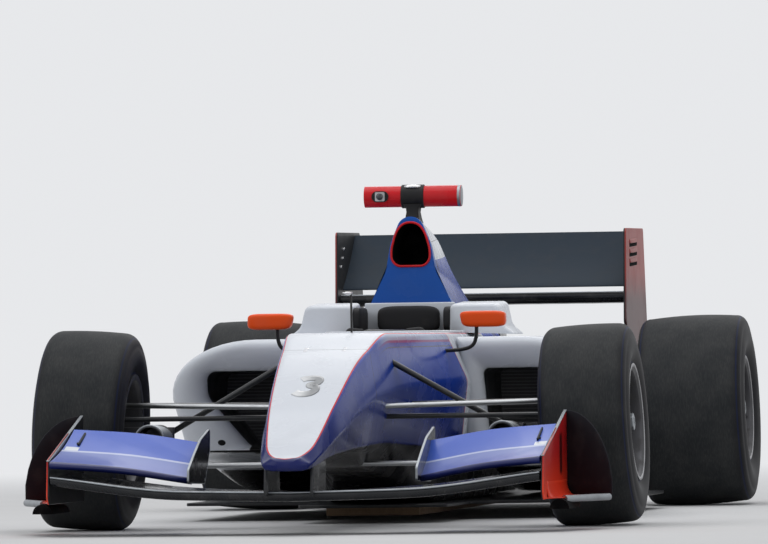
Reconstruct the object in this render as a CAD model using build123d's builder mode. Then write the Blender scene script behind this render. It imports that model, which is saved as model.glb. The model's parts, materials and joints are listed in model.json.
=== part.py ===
"""Open wheel racing car, single seat: every piece as its own solid, in millimetres.

The car stands on its tyres at z = 0, with its nose toward -Y and its left side toward +X.
A station is a distance behind the front axle, and y_of turns it into a Y of the car.
"""
import os
from math import cos, radians, sin

from build123d import *

# The whole car
wheelbase = 3125
front_track = 1579
rear_track = 1536
nose_reach = 1109
tail_reach = 735
front_axle_y = (nose_reach - wheelbase - tail_reach) / 2
ride_height = 25
panel = 12
running_gap = 0.5

# Tyres and rims: radius, section width and camber of each axle
front_tyre_radius = 310
front_tyre_width = 284
front_camber = 3
rear_tyre_radius = 329
rear_tyre_width = 376
rear_camber = 2
front_rim_width = 267
rear_rim_width = 343
rim_radius = 165
rim_wall = 8
rim_flange = 15
tyre_shoulder = 42
crown_radius = 1500
spoke_count = 10
spoke_width = 24
hub_radius = 48
spindle_radius = 22
disc_radius = 130
disc_thickness = 28

# Nose, tub and cockpit
nose_split = -300
tub_end = 1950
tub_top = 605
cockpit_front = 790
cockpit_end = 1500
cockpit_half = 205
cockpit_front_half = 150
footwell_front = 150
cavity_floor = 110
side_box_front = 1290
side_box_inner = 158
side_box_outer = 317
side_box_top = 697
headrest_half = 104
headrest_depth = 42
headrest_height = 88
probe_station = 230
probe_z = 729

# Engine and gearbox
engine_length = 600
engine_half = 200
gearbox_end = wheelbase + 315

# Wings
wing_half_span = 742
endplate_thickness = 12
fence_x = 345
fence_thickness = 6
rear_wing_half = 504
rear_endplate_thickness = 10

# Front corner: steering axis, arms and rods
kingpin_x = 715
kingpin_radius = 6
upper_ball_z = 388
lower_ball_z = 196
ball_eye_radius = 17
ball_eye_height = 14
arm_tube_radius = 11
steering_arm = 100
track_rod_z = 345
track_rod_radius = 8

# Floor
floor_height = 50
floor_thickness = 10
floor_half = 700
floor_front = 1130
tray_front = 560
tray_half = 240
plank_half = 150

os.makedirs("parts", exist_ok=True)
pieces = []


def y_of(station):
    """Y of the car at a distance behind the front axle."""
    return station + front_axle_y


def across(station):
    """Upright plane across the car: its own x is X and its own y is Z."""
    return Plane.XZ.offset(-y_of(station))


def along(x):
    """Upright plane along the car: its own x is Y and its own y is Z."""
    return Plane.YZ.offset(x)


def keep(builder, label):
    """Name a finished piece and put it on the list of files to write."""
    builder.part.label = label
    pieces.append(builder.part)


def closed_section(plane, points, radii):
    """Closed outline of straight runs with a round corner at each point."""
    with BuildSketch(plane) as outline:
        with BuildLine():
            FilletPolyline(*points, radius=radii, close=True)
        make_face()
    return outline.sketch


def both_sides(points):
    """Points of one half, from the bottom up, closed with their mirror image."""
    return points + [(-x, z) for x, z in reversed(points)]


def rod(start, end, radius):
    """Round bar between two points given as (x, station, z)."""
    foot = Vector(start[0], y_of(start[1]), start[2])
    head = Vector(end[0], y_of(end[1]), end[2])
    with BuildPart(Plane(origin=foot, z_dir=head - foot)) as bar:
        Cylinder(radius, (head - foot).length, align=(Align.CENTER, Align.CENTER, Align.MIN))
    return bar.part


def side_plate(stations_heights, x, thickness, radii):
    """Flat upright plate along the car from its (station, height) outline."""
    with BuildPart() as plate:
        extrude(closed_section(along(x), [(y_of(s), z) for s, z in stations_heights], radii), thickness)
    return plate.part


# Nose and tub
# Each row: station, (half width, height) of keel, lower edge, side and top edge, and their corner radii
nose_rows = [
    (-1109, (34, 199), (46, 202), (56, 208), (36, 217), (3, 4, 3, 4)),
    (-1080, (44, 193), (64, 198), (76, 214), (46, 233), (5, 8, 8, 10)),
    (-1002, (56, 200), (78, 208), (90, 235), (72, 265), (5, 12, 14, 12)),
    (-770, (70, 226), (98, 236), (119, 300), (101, 383), (8, 14, 30, 15)),
    (-430, (84, 240), (122, 252), (146, 380), (126, 519), (10, 16, 60, 18)),
    (nose_split, (90, 242), (132, 256), (158, 410), (136, 553), (10, 18, 60, 18)),
]
tub_rows = [
    (nose_split, (90, 242), (132, 256), (158, 410), (136, 553), (10, 18, 60, 18)),
    (-60, (74, 188), (140, 262), (182, 430), (158, tub_top), (15, 30, 60, 22)),
    (380, (90, 150), (168, 250), (220, 445), (182, tub_top), (15, 30, 60, 22)),
    (900, (180, 62), (212, 236), (262, 450), (210, tub_top), (15, 30, 60, 22)),
    (tub_end, (220, 62), (240, 236), (285, 450), (230, tub_top), (15, 30, 60, 22)),
]


def body_section(row):
    """Outline of nose or tub at one station."""
    station, keel, edge, flank, crest, corners = row
    return closed_section(across(station), both_sides([keel, edge, flank, crest]), corners + corners[::-1])


def tub_outside():
    """The tub as one full solid, which its neighbours are cut to."""
    with BuildPart() as outside:
        loft([body_section(row) for row in tub_rows], ruled=True)
    return outside.part


tub_form = tub_outside()

with BuildPart() as tub:
    add(tub_form)
    # Foot well and cockpit are one cavity, opened upward between the cockpit's ends
    inner = [
        (footwell_front, 100, 290, 125, 560),
        (cockpit_front, 140, cavity_floor, 190, 570),
        (cockpit_end + 40, 165, cavity_floor, 205, 570),
    ]
    loft(
        [
            closed_section(across(s), both_sides([(low, z0), (high, z1)]), 25)
            for s, low, z0, high, z1 in inner
        ],
        ruled=True,
        mode=Mode.SUBTRACT,
    )
    brink = [(cockpit_front, cockpit_front_half), (1000, cockpit_half), (cockpit_end, cockpit_half)]
    opening = [(x, y_of(s)) for s, x in brink] + [(-x, y_of(s)) for s, x in reversed(brink)]
    extrude(closed_section(Plane.XY.offset(400), opening, 60), tub_top, mode=Mode.SUBTRACT)
    # The straight track rods cross the foot well through a clearance hole
    with Locations(Location((0, y_of(-steering_arm), track_rod_z), (0, 90, 0))):
        Cylinder(track_rod_radius + 6, 600, mode=Mode.SUBTRACT)
keep(tub, "tub")

pylon_x = 70
pylon_thickness = 10
pylon_rows = [(-1045, 118), (-1020, 240), (-800, 300), (-790, 118)]
with BuildPart() as nose_cone:
    loft([body_section(row) for row in nose_rows], ruled=True)
    for x in (-pylon_x, pylon_x):
        add(side_plate(pylon_rows, x - pylon_thickness / 2, pylon_thickness, 6))
keep(nose_cone, "nose_cone")

with BuildPart() as cockpit_surround:
    side_box = [
        (side_box_inner, tub_top + 1),
        (side_box_outer - 12, tub_top + 1),
        (side_box_outer, side_box_top - 25),
        (side_box_inner + 10, side_box_top),
    ]
    for side in (1, -1):
        outline = [(side * x, z) for x, z in side_box]
        rear = [(side * (x + 6 * (x > 200)), z + 10 * (z > 650)) for x, z in side_box]
        loft([
            closed_section(across(side_box_front), outline, [4, 10, 24, 14]),
            closed_section(across(cockpit_end), rear, [4, 10, 24, 14]),
        ], ruled=True)
    with Locations((0, y_of(cockpit_end), tub_top + 1)):
        Box(2 * 150, 19, 100, align=(Align.CENTER, Align.MAX, Align.MIN))
        Box(2 * 300, 10, 60, align=(Align.CENTER, Align.MAX, Align.MIN))
keep(cockpit_surround, "cockpit_surround")

# Padded rest behind the driver's head, seated on the cross wall between the side boxes
with BuildPart() as headrest:
    with Locations((0, y_of(cockpit_end - 19), tub_top + 2)):
        Box(2 * headrest_half, headrest_depth, headrest_height, align=(Align.CENTER, Align.MAX, Align.MIN))
    fillet(headrest.edges().filter_by(Axis.Y), 24)
    fillet(headrest.faces().sort_by(Axis.Y)[0].edges(), 16)
keep(headrest, "headrest")

# Speed probe: a thin mast on the deck that carries a round head pointing forward
with BuildPart() as speed_probe:
    mast = [(probe_station - 15, tub_top - 2), (probe_station + 15, tub_top - 2),
            (probe_station + 10, probe_z), (probe_station - 12, probe_z)]
    add(side_plate(mast, -3, 6, 2))
    add(rod((0, probe_station + 10, probe_z), (0, probe_station - 115, probe_z), 5))
    add(rod((0, probe_station - 114, probe_z), (0, probe_station - 164, probe_z), 2.5))
    add(tub_form, mode=Mode.SUBTRACT)
keep(speed_probe, "speed_probe")

seat_line = [(860, 156), (1250, 146), (1430, 430), (1450, 600), (1475, 600), (1455, 420), (1265, 128), (860, 130)]
with BuildPart() as seat:
    add(side_plate(seat_line, -140, 280, 3))
keep(seat, "seat")

# Steering wheel and column, tilted toward the driver
column_tilt = 8
column_radius = 18
column_length = 620
wheel_station = 930
wheel_z = 545
grip_width = 270
grip_height = 160
grip_depth = 24
steering_plane = Plane(
    origin=(0, y_of(wheel_station), wheel_z),
    x_dir=(1, 0, 0),
    z_dir=(0, cos(radians(column_tilt)), sin(radians(column_tilt))),
)
with BuildPart() as steering_wheel:
    with BuildSketch(steering_plane):
        RectangleRounded(grip_width, grip_height, 45)
        with Locations((-95, 8), (95, 8)):
            SlotOverall(90, 34, rotation=90, mode=Mode.SUBTRACT)
    extrude(amount=grip_depth)
keep(steering_wheel, "steering_wheel")

with BuildPart() as steering_column:
    with Locations(steering_plane.offset(-2)):
        Cylinder(column_radius, column_length, align=(Align.CENTER, Align.CENTER, Align.MAX))
    # The bulkhead that carries the column reaches the cavity's walls
    with Locations(steering_plane.offset(-300)):
        Box(390, 60, 30)
    add(tub.part, mode=Mode.SUBTRACT)
keep(steering_column, "steering_column")

# Engine cover with the air intake over the roll hoop
# Each row: station, bottom z, top z, and five half widths from the bottom to the top
cover_rows = [
    (1520, 607, 990, (240, 132, 84, 64, 29)),
    (1960, 560, 925, (262, 165, 100, 58, 24)),
    (2350, 500, 790, (250, 180, 110, 55, 20)),
    (2780, 420, 640, (170, 135, 95, 50, 18)),
]
cover_levels = (0, 0.27, 0.52, 0.77, 1)
mouth_sill = 822
mouth_top = 974


def cover_section(row, inset=0, drop=0):
    """Outline of the engine cover at one station, or of its inside when inset."""
    station, low, high, halves = row
    points = [
        (half - inset * (0.9 if level < 1 else 0.4), low + (high - inset - low) * level - drop * (level == 0))
        for level, half in zip(cover_levels, halves)
    ]
    corners = [3, 60, 90, 90, 0.5 * (halves[-1] - 0.4 * inset)]
    return closed_section(across(station), both_sides(points), corners + corners[::-1])


with BuildPart() as cover_outside:
    loft([cover_section(row) for row in cover_rows], ruled=True)
cover_form = cover_outside.part

with BuildPart() as engine_cover:
    add(cover_form)
    shifted = [(row[0] + (40 if row is cover_rows[0] else 0), *row[1:]) for row in cover_rows]
    shifted[-1] = (cover_rows[-1][0] + 1, *cover_rows[-1][1:])
    loft([cover_section(row, panel, 2) for row in shifted], ruled=True, mode=Mode.SUBTRACT)
    mouth = [(34, mouth_sill + 8), (57, 886), (40, 950), (14, mouth_top - 8)]
    extrude(
        closed_section(across(1500), both_sides(mouth), [8, 30, 20, 10, 10, 20, 30, 8]),
        -120,
        mode=Mode.SUBTRACT,
    )
    add(tub_form, mode=Mode.SUBTRACT)
keep(engine_cover, "engine_cover")

pod_station = 1601
pod_z = 1057
pod_half = 166
pod_radius = 35
with BuildPart() as camera_pod:
    with Locations(Location((0, y_of(pod_station), pod_z), (0, 90, 0))):
        Cylinder(pod_radius, 2 * pod_half)
        Cylinder(pod_radius + 4, 84)
    with Locations((0, y_of(pod_station), pod_z - pod_radius)):
        Box(44, 80, 75, align=(Align.CENTER, Align.CENTER, Align.MAX))
    add(cover_form, mode=Mode.SUBTRACT)
keep(camera_pod, "camera_pod")

# Sidepods with raked inlets
# Each row: station, outer half width and its lowest z, top z, bottom z, half width of the bottom, inner x,
# then the crest: z of its outer corner, x of its upper corner, and the radius of each
pod_rows = [
    (1500, 727, 350, 590, 190, 705, 240, 486, 550, 175, 368),
    (2100, 640, 300, 540, 75, 622, 275, 443, 494, 158, 285),
    (2760, 380, 240, 420, 62, 400, 275, 356, 333, 116, 75),
]
pod_front_row = (925, 727, 355, 590, 222, 702, 225, 486, 550, 175, 368)
inlet_rake = 34
# Each row: depth behind the inlet's raked plane, and how far the rolled lip stands in from the outer side
lip_rows = [(0, 50), (6, 32), (22, 14), (65, 0)]
inlet_rows = [(300, 240), (489, 240), (612, 405), (606, 489), (300, 489)]
inlet_corners = [20, 40, 60, 34, 20]
inlet_end = 1520


def pod_section(row, inset=0, raked=False):
    """Outline of the left sidepod at one station, its crest nearly a quarter ellipse."""
    station, outer, flank, top, bottom, foot, inner_x, corner_z, corner_x, low_radius, high_radius = row
    points = [
        (inner_x, bottom), (foot, bottom), (outer - inset, flank), (outer - inset, corner_z - 0.57 * inset),
        (corner_x - 0.27 * inset, top - inset), (inner_x, top - inset),
    ]
    corners = [4, 30, 40, low_radius - inset, high_radius - inset, 4]
    if not raked:
        return closed_section(across(station), points, corners)
    lean = radians(inlet_rake)
    plane = Plane(origin=(0, y_of(station), top), x_dir=(1, 0, 0), z_dir=(0, -cos(lean), -sin(lean)))
    return closed_section(plane, [(x, (z - top) / cos(lean)) for x, z in points], corners)


with BuildPart() as sidepod_left:
    front, *behind = pod_front_row
    lip = [pod_section((front + depth, *behind), inset, raked=True) for depth, inset in lip_rows]
    loft(lip + [pod_section(row) for row in pod_rows], ruled=True)
    extrude(closed_section(across(800), inlet_rows, inlet_corners), 800 - inlet_end, mode=Mode.SUBTRACT)
    add(tub_form, mode=Mode.SUBTRACT)
keep(sidepod_left, "sidepod_left")
with BuildPart() as sidepod_right:
    add(mirror(sidepod_left.part, about=Plane.YZ, mode=Mode.PRIVATE))
keep(sidepod_right, "sidepod_right")

with BuildPart() as radiators:
    for side in (1, -1):
        core = [(side * x, z) for x, z in inlet_rows]
        extrude(closed_section(across(inlet_end - 90), core, inlet_corners), -89)
    add(tub_form, mode=Mode.SUBTRACT)
keep(radiators, "radiators")

# Floor, plank and diffuser
floor_rows = [
    (tray_half - 90, tray_front),
    (tray_half, tray_front + 60),
    (tray_half + 10, floor_front - 60),
    (floor_half, floor_front + 40),
    (floor_half, 2640),
    (540, 2740),
    (540, 2990),
]
with BuildPart() as floor:
    plan = [(x, y_of(s)) for x, s in floor_rows]
    plan += [(-x, y) for x, y in reversed(plan)]
    extrude(closed_section(Plane.XY.offset(floor_height), plan, 20), floor_thickness)
    with Locations((0, y_of(tray_front + 60), floor_height)):
        Box(2 * plank_half, 2300, floor_height - ride_height, align=(Align.CENTER, Align.MIN, Align.MAX))
keep(floor, "floor")

diffuser_end = 3700
diffuser_half = 500
diffuser_line = [(2991, 50), (diffuser_end, 235), (diffuser_end, 245), (2991, 60)]
with BuildPart() as diffuser:
    add(side_plate(diffuser_line, -diffuser_half, 2 * diffuser_half, 2))
    strake_line = [(3000, 48), (diffuser_end, 90), (diffuser_end, 236), (3000, 54)]
    for x in (-diffuser_half, -190, 182, diffuser_half - 8):
        add(side_plate(strake_line, x, 8, 1.5))
keep(diffuser, "diffuser")

# Engine, gearbox, exhausts and the rear crash structure
with BuildPart() as engine:
    with Locations((0, y_of(tub_end + 1), 70)):
        Box(2 * engine_half, engine_length, 385, align=(Align.CENTER, Align.MIN, Align.MIN))
keep(engine, "engine")

# Each row: station, half width, bottom z, top z
gearbox_rows = [
    (tub_end + engine_length + 2, 150, 90, 420),
    (wheelbase - 225, 110, 130, 400),
    (gearbox_end, 70, 200, 400),
]
with BuildPart() as gearbox:
    loft([
        closed_section(across(s), both_sides([(half, low), (half, high)]), 25)
        for s, half, low, high in gearbox_rows
    ], ruled=True)
keep(gearbox, "gearbox")

crash_end = gearbox_end + 360
crash_rows = [(gearbox_end + 1, 62, 235, 385), (crash_end, 38, 275, 355)]
with BuildPart() as crash_structure:
    loft([
        closed_section(across(s), both_sides([(half, low), (half, high)]), 14)
        for s, half, low, high in crash_rows
    ], ruled=True)
    with Locations((0, y_of(crash_end), 315)):
        Box(70, wheelbase + tail_reach - crash_end, 60, align=(Align.CENTER, Align.MIN, Align.CENTER))
keep(crash_structure, "crash_structure")

exhaust_radius = 32
exhaust_z = 395
exhaust_x = engine_half + exhaust_radius + 4
with BuildPart() as exhausts:
    for side in (1, -1):
        with BuildLine() as run:
            FilletPolyline(
                (side * exhaust_x, y_of(tub_end + 200), exhaust_z),
                (side * exhaust_x, y_of(tub_end + engine_length + 10), exhaust_z),
                (side * 215, y_of(wheelbase - 225), exhaust_z + 45),
                radius=120,
            )
        with BuildSketch(Plane(origin=run.line @ 0, z_dir=run.line % 0)) as pipe:
            Circle(exhaust_radius)
            Circle(exhaust_radius - 3, mode=Mode.SUBTRACT)
        sweep(sections=pipe.sketch, path=run.line)
keep(exhausts, "exhausts")


# Wings
def blade(plane, nose, tail, sag, thickness):
    """Wing section between two points (y, z), hollow side up, its belly a sag below the chord."""
    head, end = Vector(*nose), Vector(*tail)
    chord = end - head
    down = Vector(chord.Y, -chord.X) * (1 / chord.length)
    middle = head + chord * 0.45
    edge = down * 2
    with BuildSketch(plane) as section:
        with BuildLine():
            upper = ThreePointArc(head, middle + down * (sag - thickness / 2), end)
            lower = ThreePointArc(head + edge * 2, middle + down * (sag + thickness / 2), end + edge)
            Line(upper @ 0, lower @ 0)
            Line(upper @ 1, lower @ 1)
        make_face()
    return section.sketch


# Each row: x, leading edge (station, z), trailing edge (station, z)
main_rows = [(0, (-1010, 120), (-720, 124)), (fence_x, (-985, 118), (-690, 140)),
             (wing_half_span - 2, (-945, 172), (-610, 190))]
with BuildPart() as front_wing_main:
    for side in (1, -1):
        loft([
            blade(along(side * x), (y_of(lead[0]), lead[1]), (y_of(trail[0]), trail[1]), 14, 22)
            for x, lead, trail in main_rows
        ], ruled=True)
    add(nose_cone.part, mode=Mode.SUBTRACT)
keep(front_wing_main, "front_wing_main")

flap_rows = [(fence_x + fence_thickness, (-718, 158), (-485, 273)),
             (560, (-842, 196), (-515, 306)),
             (wing_half_span, (-950, 215), (-542, 319))]
fence_rows = [(-784, 156), (-780, 197), (-664, 246), (-565, 284), (-400, 316), (-408, 250), (-505, 150)]
fence_corners = [8, 14, 40, 60, 12, 20, 14]
endplate_rows = [(-945, 130), (-929, 232), (-374, 361), (-374, 98), (-900, 98)]
endplate_corners = [30, 12, 10, 6, 20]
foot_tip = (906, -492)
foot_z = 98
foot_roll = 7
# Turning panel's outline: share of its reach, z, and corner radius
panel_rows = [(0, 100, 1), (1, 100, 1), (1, 230, 82), (0.48, 356, 110), (0, 356, 1)]
for side, name in ((1, "left"), (-1, "right")):
    with BuildPart() as front_flap:
        loft([
            blade(along(side * x), (y_of(lead[0]), lead[1]), (y_of(trail[0]), trail[1]), 20, 18)
            for x, lead, trail in flap_rows
        ], ruled=True)
    keep(front_flap, f"front_flap_{name}")


with BuildPart() as front_endplate:
    add(side_plate(endplate_rows, wing_half_span, endplate_thickness, endplate_corners))
    outer = wing_half_span + endplate_thickness
    foot = [(outer - 4, -890), (foot_tip[0], foot_tip[1] - 30), foot_tip, (outer - 4, -374)]
    extrude(closed_section(Plane.XY.offset(foot_z), [(x, y_of(s)) for x, s in foot], 4), 6)
    # The rolled edge along the foot's front
    add(rod((outer - 2, -884, foot_z + 3), (foot_tip[0] - foot_roll, foot_tip[1] - 26, foot_z + 3), foot_roll))
    # Turning panel: falls in a curve from the plate's rear edge to the foot's tip
    turn = Plane(
        origin=(outer - 4, y_of(-380), 0),
        x_dir=(foot_tip[0] - outer, foot_tip[1] + 374, 0),
        z_dir=(foot_tip[1] + 374, outer - foot_tip[0], 0),
    )
    reach = ((foot_tip[0] - outer) ** 2 + (foot_tip[1] + 374) ** 2) ** 0.5
    outline = [(share * reach, z) for share, z, radius in panel_rows]
    extrude(closed_section(turn, outline, [radius for share, z, radius in panel_rows]), 8)
keep(front_endplate, "front_endplate_left")
with BuildPart() as front_endplate_right:
    add(mirror(front_endplate.part, about=Plane.YZ, mode=Mode.PRIVATE))
keep(front_endplate_right, "front_endplate_right")

with BuildPart() as front_fences:
    for side in (1, -1):
        add(side_plate(fence_rows, side * fence_x - (side < 0) * fence_thickness, fence_thickness, fence_corners))
    add(front_wing_main.part, mode=Mode.SUBTRACT)
keep(front_fences, "front_fences")

with BuildPart() as rear_wing_planes:
    # Each row: leading edge (station, z), trailing edge (station, z), sag, thickness
    for lead, trail, sag, thickness in (
        ((3215, 726), (3430, 742), 18, 26),
        ((3300, 765), (3590, 961), 26, 20),
    ):
        section = blade(along(-rear_wing_half), (y_of(lead[0]), lead[1]), (y_of(trail[0]), trail[1]), sag, thickness)
        extrude(section, 2 * rear_wing_half)
    beam = blade(along(-rear_wing_half), (y_of(3480), 400), (y_of(3660), 440), 14, 18)
    extrude(beam, 2 * rear_wing_half)
keep(rear_wing_planes, "rear_wing_planes")

rear_endplate_rows = [(3176, 640), (3200, 967), (3707, 972), (3793, 640), (3760, 330), (3470, 330), (3300, 560)]
louvre_rows = [(3290, 890), (3312, 895), (3336, 815), (3314, 810)]
louvre_pitch = 48
for side, name in ((1, "left"), (-1, "right")):
    with BuildPart() as rear_endplate:
        inner = side * rear_wing_half - (side < 0) * rear_endplate_thickness
        add(side_plate(rear_endplate_rows, inner, rear_endplate_thickness, 20))
        for step in range(3):
            slot = side_plate(louvre_rows, inner - 1, rear_endplate_thickness + 2, 8)
            add(Pos(0, step * louvre_pitch, 0) * slot, mode=Mode.SUBTRACT)
    keep(rear_endplate, f"rear_endplate_{name}")

pylon_plan = [(3230, 401), (3250, 718), (3325, 712), (3400, 731), (3425, 401)]
with BuildPart() as rear_wing_pylons:
    for x in (-60, 52):
        add(side_plate(pylon_plan, x, 8, 4))
    add(rear_wing_planes.part, mode=Mode.SUBTRACT)
keep(rear_wing_pylons, "rear_wing_pylons")

# Mirrors on curved stems
mirror_station = 757
for side, name in ((1, "left"), (-1, "right")):
    with BuildPart() as side_mirror:
        with Locations((side * 344, y_of(mirror_station), 646)):
            Box(146, 60, 52)
        fillet(side_mirror.edges().filter_by(Axis.Y), 14)
        fillet(side_mirror.faces().sort_by(Axis.Y)[0].edges(), 12)
        with BuildLine() as stem:
            FilletPolyline(
                (side * 315, y_of(mirror_station), 625),
                (side * 315, y_of(mirror_station), 556),
                (side * 230, y_of(mirror_station), 546),
                radius=24,
            )
        with BuildSketch(Plane(origin=stem.line @ 0, z_dir=stem.line % 0)) as bar:
            Circle(7)
        sweep(sections=bar.sketch, path=stem.line)
        add(tub_form, mode=Mode.SUBTRACT)
    keep(side_mirror, f"mirror_{name}")


# Front suspension: two arms and a pushrod a side, all joined at the outer ball eyes
def ball_eye(side, z):
    """Flat eye round the steering axis, its bore a little wider than the kingpin."""
    with BuildPart(Location((side * kingpin_x, y_of(0), z))) as eye:
        Cylinder(ball_eye_radius, ball_eye_height)
        Hole(kingpin_radius + running_gap)
    return eye.part


def arm(side, ball, legs, radius, bore):
    """Two tubes from one ball to their inner pivots, with the ball's place left open."""
    with BuildPart() as tubes:
        for leg in legs:
            add(rod((side * ball[0], ball[1], ball[2]), (side * leg[0], leg[1], leg[2]), radius))
        with Locations((side * ball[0], y_of(ball[1]), ball[2])):
            Cylinder(bore, 4 * radius, mode=Mode.SUBTRACT)
    return tubes.part


upper_legs = [(90, -160, 376), (90, 260, 380)]
lower_legs = [(40, -82, 200), (40, 300, 196)]
pushrod_foot = (655, 0, 233)
pushrod_head = (140, -45, 528)
with BuildPart() as front_suspension:
    for side in (1, -1):
        for legs, z in ((upper_legs, upper_ball_z), (lower_legs, lower_ball_z)):
            add(arm(side, (kingpin_x, 0, z), legs, arm_tube_radius, ball_eye_radius - 1))
            add(ball_eye(side, z))
        foot, head = (side * pushrod_foot[0], *pushrod_foot[1:]), (side * pushrod_head[0], *pushrod_head[1:])
        add(rod(foot, head, arm_tube_radius))
        with Locations((side * pushrod_foot[0], y_of(4), lower_ball_z)):
            Box(30, 32, pushrod_foot[2] + 8 - lower_ball_z, align=(Align.CENTER, Align.CENTER, Align.MIN))
    add(tub_form, mode=Mode.SUBTRACT)
keep(front_suspension, "front_suspension")

with BuildPart() as track_rods:
    add(rod((-kingpin_x, -steering_arm, track_rod_z), (kingpin_x, -steering_arm, track_rod_z), track_rod_radius))
    for side in (1, -1):
        with Locations((side * kingpin_x, y_of(-steering_arm), track_rod_z)):
            Cylinder(15, 12)
keep(track_rods, "track_rods")


# Wheels and what carries them
def wheel_plane(side, station, track, radius, camber):
    """Plane of a wheel: its normal is the axle line, out and a little up, with the crown on the ground."""
    lean = radians(camber)
    height = crown_radius + (radius - crown_radius) * cos(lean)
    return Plane(
        origin=(side * track / 2, y_of(station), height),
        x_dir=(0, 1, 0),
        z_dir=(side * cos(lean), 0, sin(lean)),
    )


def axle_section(wheel):
    """Plane through the axle line: its own x is the radius and its own y runs outward."""
    return Plane(origin=wheel.origin, x_dir=wheel.x_dir, z_dir=wheel.x_dir.cross(wheel.z_dir))


def tyre_solid(wheel, radius, width, rim_width):
    """Slick tyre: gentle crown, round shoulders and bulging walls, turned about the axle line."""
    bead = rim_width / 2 - 7
    crown = width / 2 - tyre_shoulder
    drop = crown_radius - (crown_radius**2 - crown**2) ** 0.5
    with BuildPart() as tyre:
        with BuildSketch(axle_section(wheel)):
            with BuildLine():
                Polyline((rim_radius, 0), (rim_radius, bead), (rim_radius + 21, bead))
                ThreePointArc((rim_radius + 21, bead), (rim_radius + 70, width / 2), (radius - 44, width / 2 - 7))
                ThreePointArc((radius - 44, width / 2 - 7), (radius - 13, width / 2 - 20), (radius - drop, crown))
                ThreePointArc((radius - drop, crown), (radius - drop / 4, crown / 2), (radius, 0))
                mirror(about=Plane.XZ)
            make_face()
        revolve(axis=Axis(wheel.origin, wheel.z_dir))
    return tyre


def rim_solid(wheel, rim_width, disc_face, shaft_end=None):
    """Rim with its spokes, hub and brake disc; a driven one carries its half shaft as well."""
    edge = rim_width / 2
    well = rim_radius - rim_wall
    spoke_face = edge - 40
    with BuildPart() as rim:
        with BuildSketch(axle_section(wheel)):
            with BuildLine():
                Polyline(
                    (well, -edge), (rim_radius + rim_flange, -edge), (rim_radius + rim_flange, 7 - edge),
                    (rim_radius, 7 - edge), (rim_radius, edge - 7), (rim_radius + rim_flange, edge - 7),
                    (rim_radius + rim_flange, edge), (well, edge), close=True,
                )
            make_face()
            with BuildLine():
                Polyline(
                    (0, disc_face), (disc_radius, disc_face), (disc_radius, disc_face + disc_thickness),
                    (hub_radius, disc_face + disc_thickness), (hub_radius - 6, spoke_face), (0, spoke_face), close=True,
                )
            make_face()
        revolve(axis=Axis(wheel.origin, wheel.z_dir))
        with BuildSketch(wheel.offset(spoke_face - 26)):
            with PolarLocations((hub_radius - 10 + well + 2) / 2, spoke_count):
                Rectangle(well + 12 - hub_radius, spoke_width)
        extrude(amount=26)
        if shaft_end is None:
            with BuildSketch(wheel.offset(disc_face)):
                Circle(spindle_radius + running_gap)
            extrude(amount=spoke_face - 30 - disc_face, mode=Mode.SUBTRACT)
        else:
            with BuildSketch(wheel.offset(disc_face + 1)):
                Circle(spindle_radius - 4)
            extrude(amount=shaft_end - disc_face)
    return rim


def caliper(wheel, disc_face):
    """Clamp block over the rear edge of a brake disc, slotted clear of it."""
    inner_face = disc_face - 14
    with BuildPart() as block:
        with BuildSketch(wheel.offset(inner_face)):
            Circle(disc_radius + 19)
            Circle(disc_radius - 40, mode=Mode.SUBTRACT)
            with Locations((disc_radius, 0)):
                Rectangle(150, 130, mode=Mode.INTERSECT)
        extrude(amount=disc_thickness + 28)
        with BuildSketch(wheel.offset(disc_face - 6)):
            Circle(disc_radius + 7)
        extrude(amount=disc_thickness + 12, mode=Mode.SUBTRACT)
    return block.part


upright_half = 15
front_disc_face = -45
scoop_x = 547
scoop_half = 44
scoop_wall = 6
scoop_front = -330
scoop_end = -150
scoop_low = 242
scoop_eaves = 284
duct_plan = [(503, -151), (591, -151), (591, -125), (712, -118), (712, -15), (701, -15), (640, -62), (503, -130)]


def scoop_section(side, inset=0):
    """Half round hood over upright sides."""
    middle, half, low = side * scoop_x, scoop_half - inset, scoop_low + inset
    with BuildSketch(across(scoop_front)) as outline:
        with BuildLine():
            crown = (middle, scoop_eaves + half)
            hood = ThreePointArc((middle + half, scoop_eaves), crown, (middle - half, scoop_eaves))
            Polyline(hood @ 1, (middle - half, low), (middle + half, low), hood @ 0)
        make_face()
    return outline.sketch


for side, name in ((1, "left"), (-1, "right")):
    wheel = wheel_plane(side, 0, front_track, front_tyre_radius, front_camber)
    tyre = tyre_solid(wheel, front_tyre_radius, front_tyre_width, front_rim_width)
    keep(tyre, f"front_tyre_{name}")
    rim = rim_solid(wheel, front_rim_width, front_disc_face)
    keep(rim, f"front_rim_{name}")

    with BuildPart() as front_upright:
        with Locations((side * kingpin_x, y_of(0), (upper_ball_z + lower_ball_z) / 2)):
            Box(2 * upright_half, 44, upper_ball_z - lower_ball_z - 2 * arm_tube_radius - 8)
            Cylinder(kingpin_radius, upper_ball_z - lower_ball_z + ball_eye_height + 4)
        with Locations((side * kingpin_x, y_of(-steering_arm / 2), track_rod_z + 19)):
            Box(20, steering_arm + 20, 10)
        with BuildSketch(wheel.offset(-80)):
            Circle(spindle_radius)
        extrude(amount=80 + front_rim_width / 2 - 80)
        add(caliper(wheel, front_disc_face))
        with Locations((side * (kingpin_x + 7), y_of(60), wheel.origin.Z)):
            Box(20, 90, 70)
        plan = [(side * x, y_of(s)) for x, s in duct_plan]
        extrude(closed_section(Plane.XY.offset(scoop_low), plan, 3), 78)
        extrude(scoop_section(side), scoop_front - scoop_end)
        extrude(scoop_section(side, scoop_wall), -120, mode=Mode.SUBTRACT)
    keep(front_upright, f"front_upright_{name}")

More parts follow.
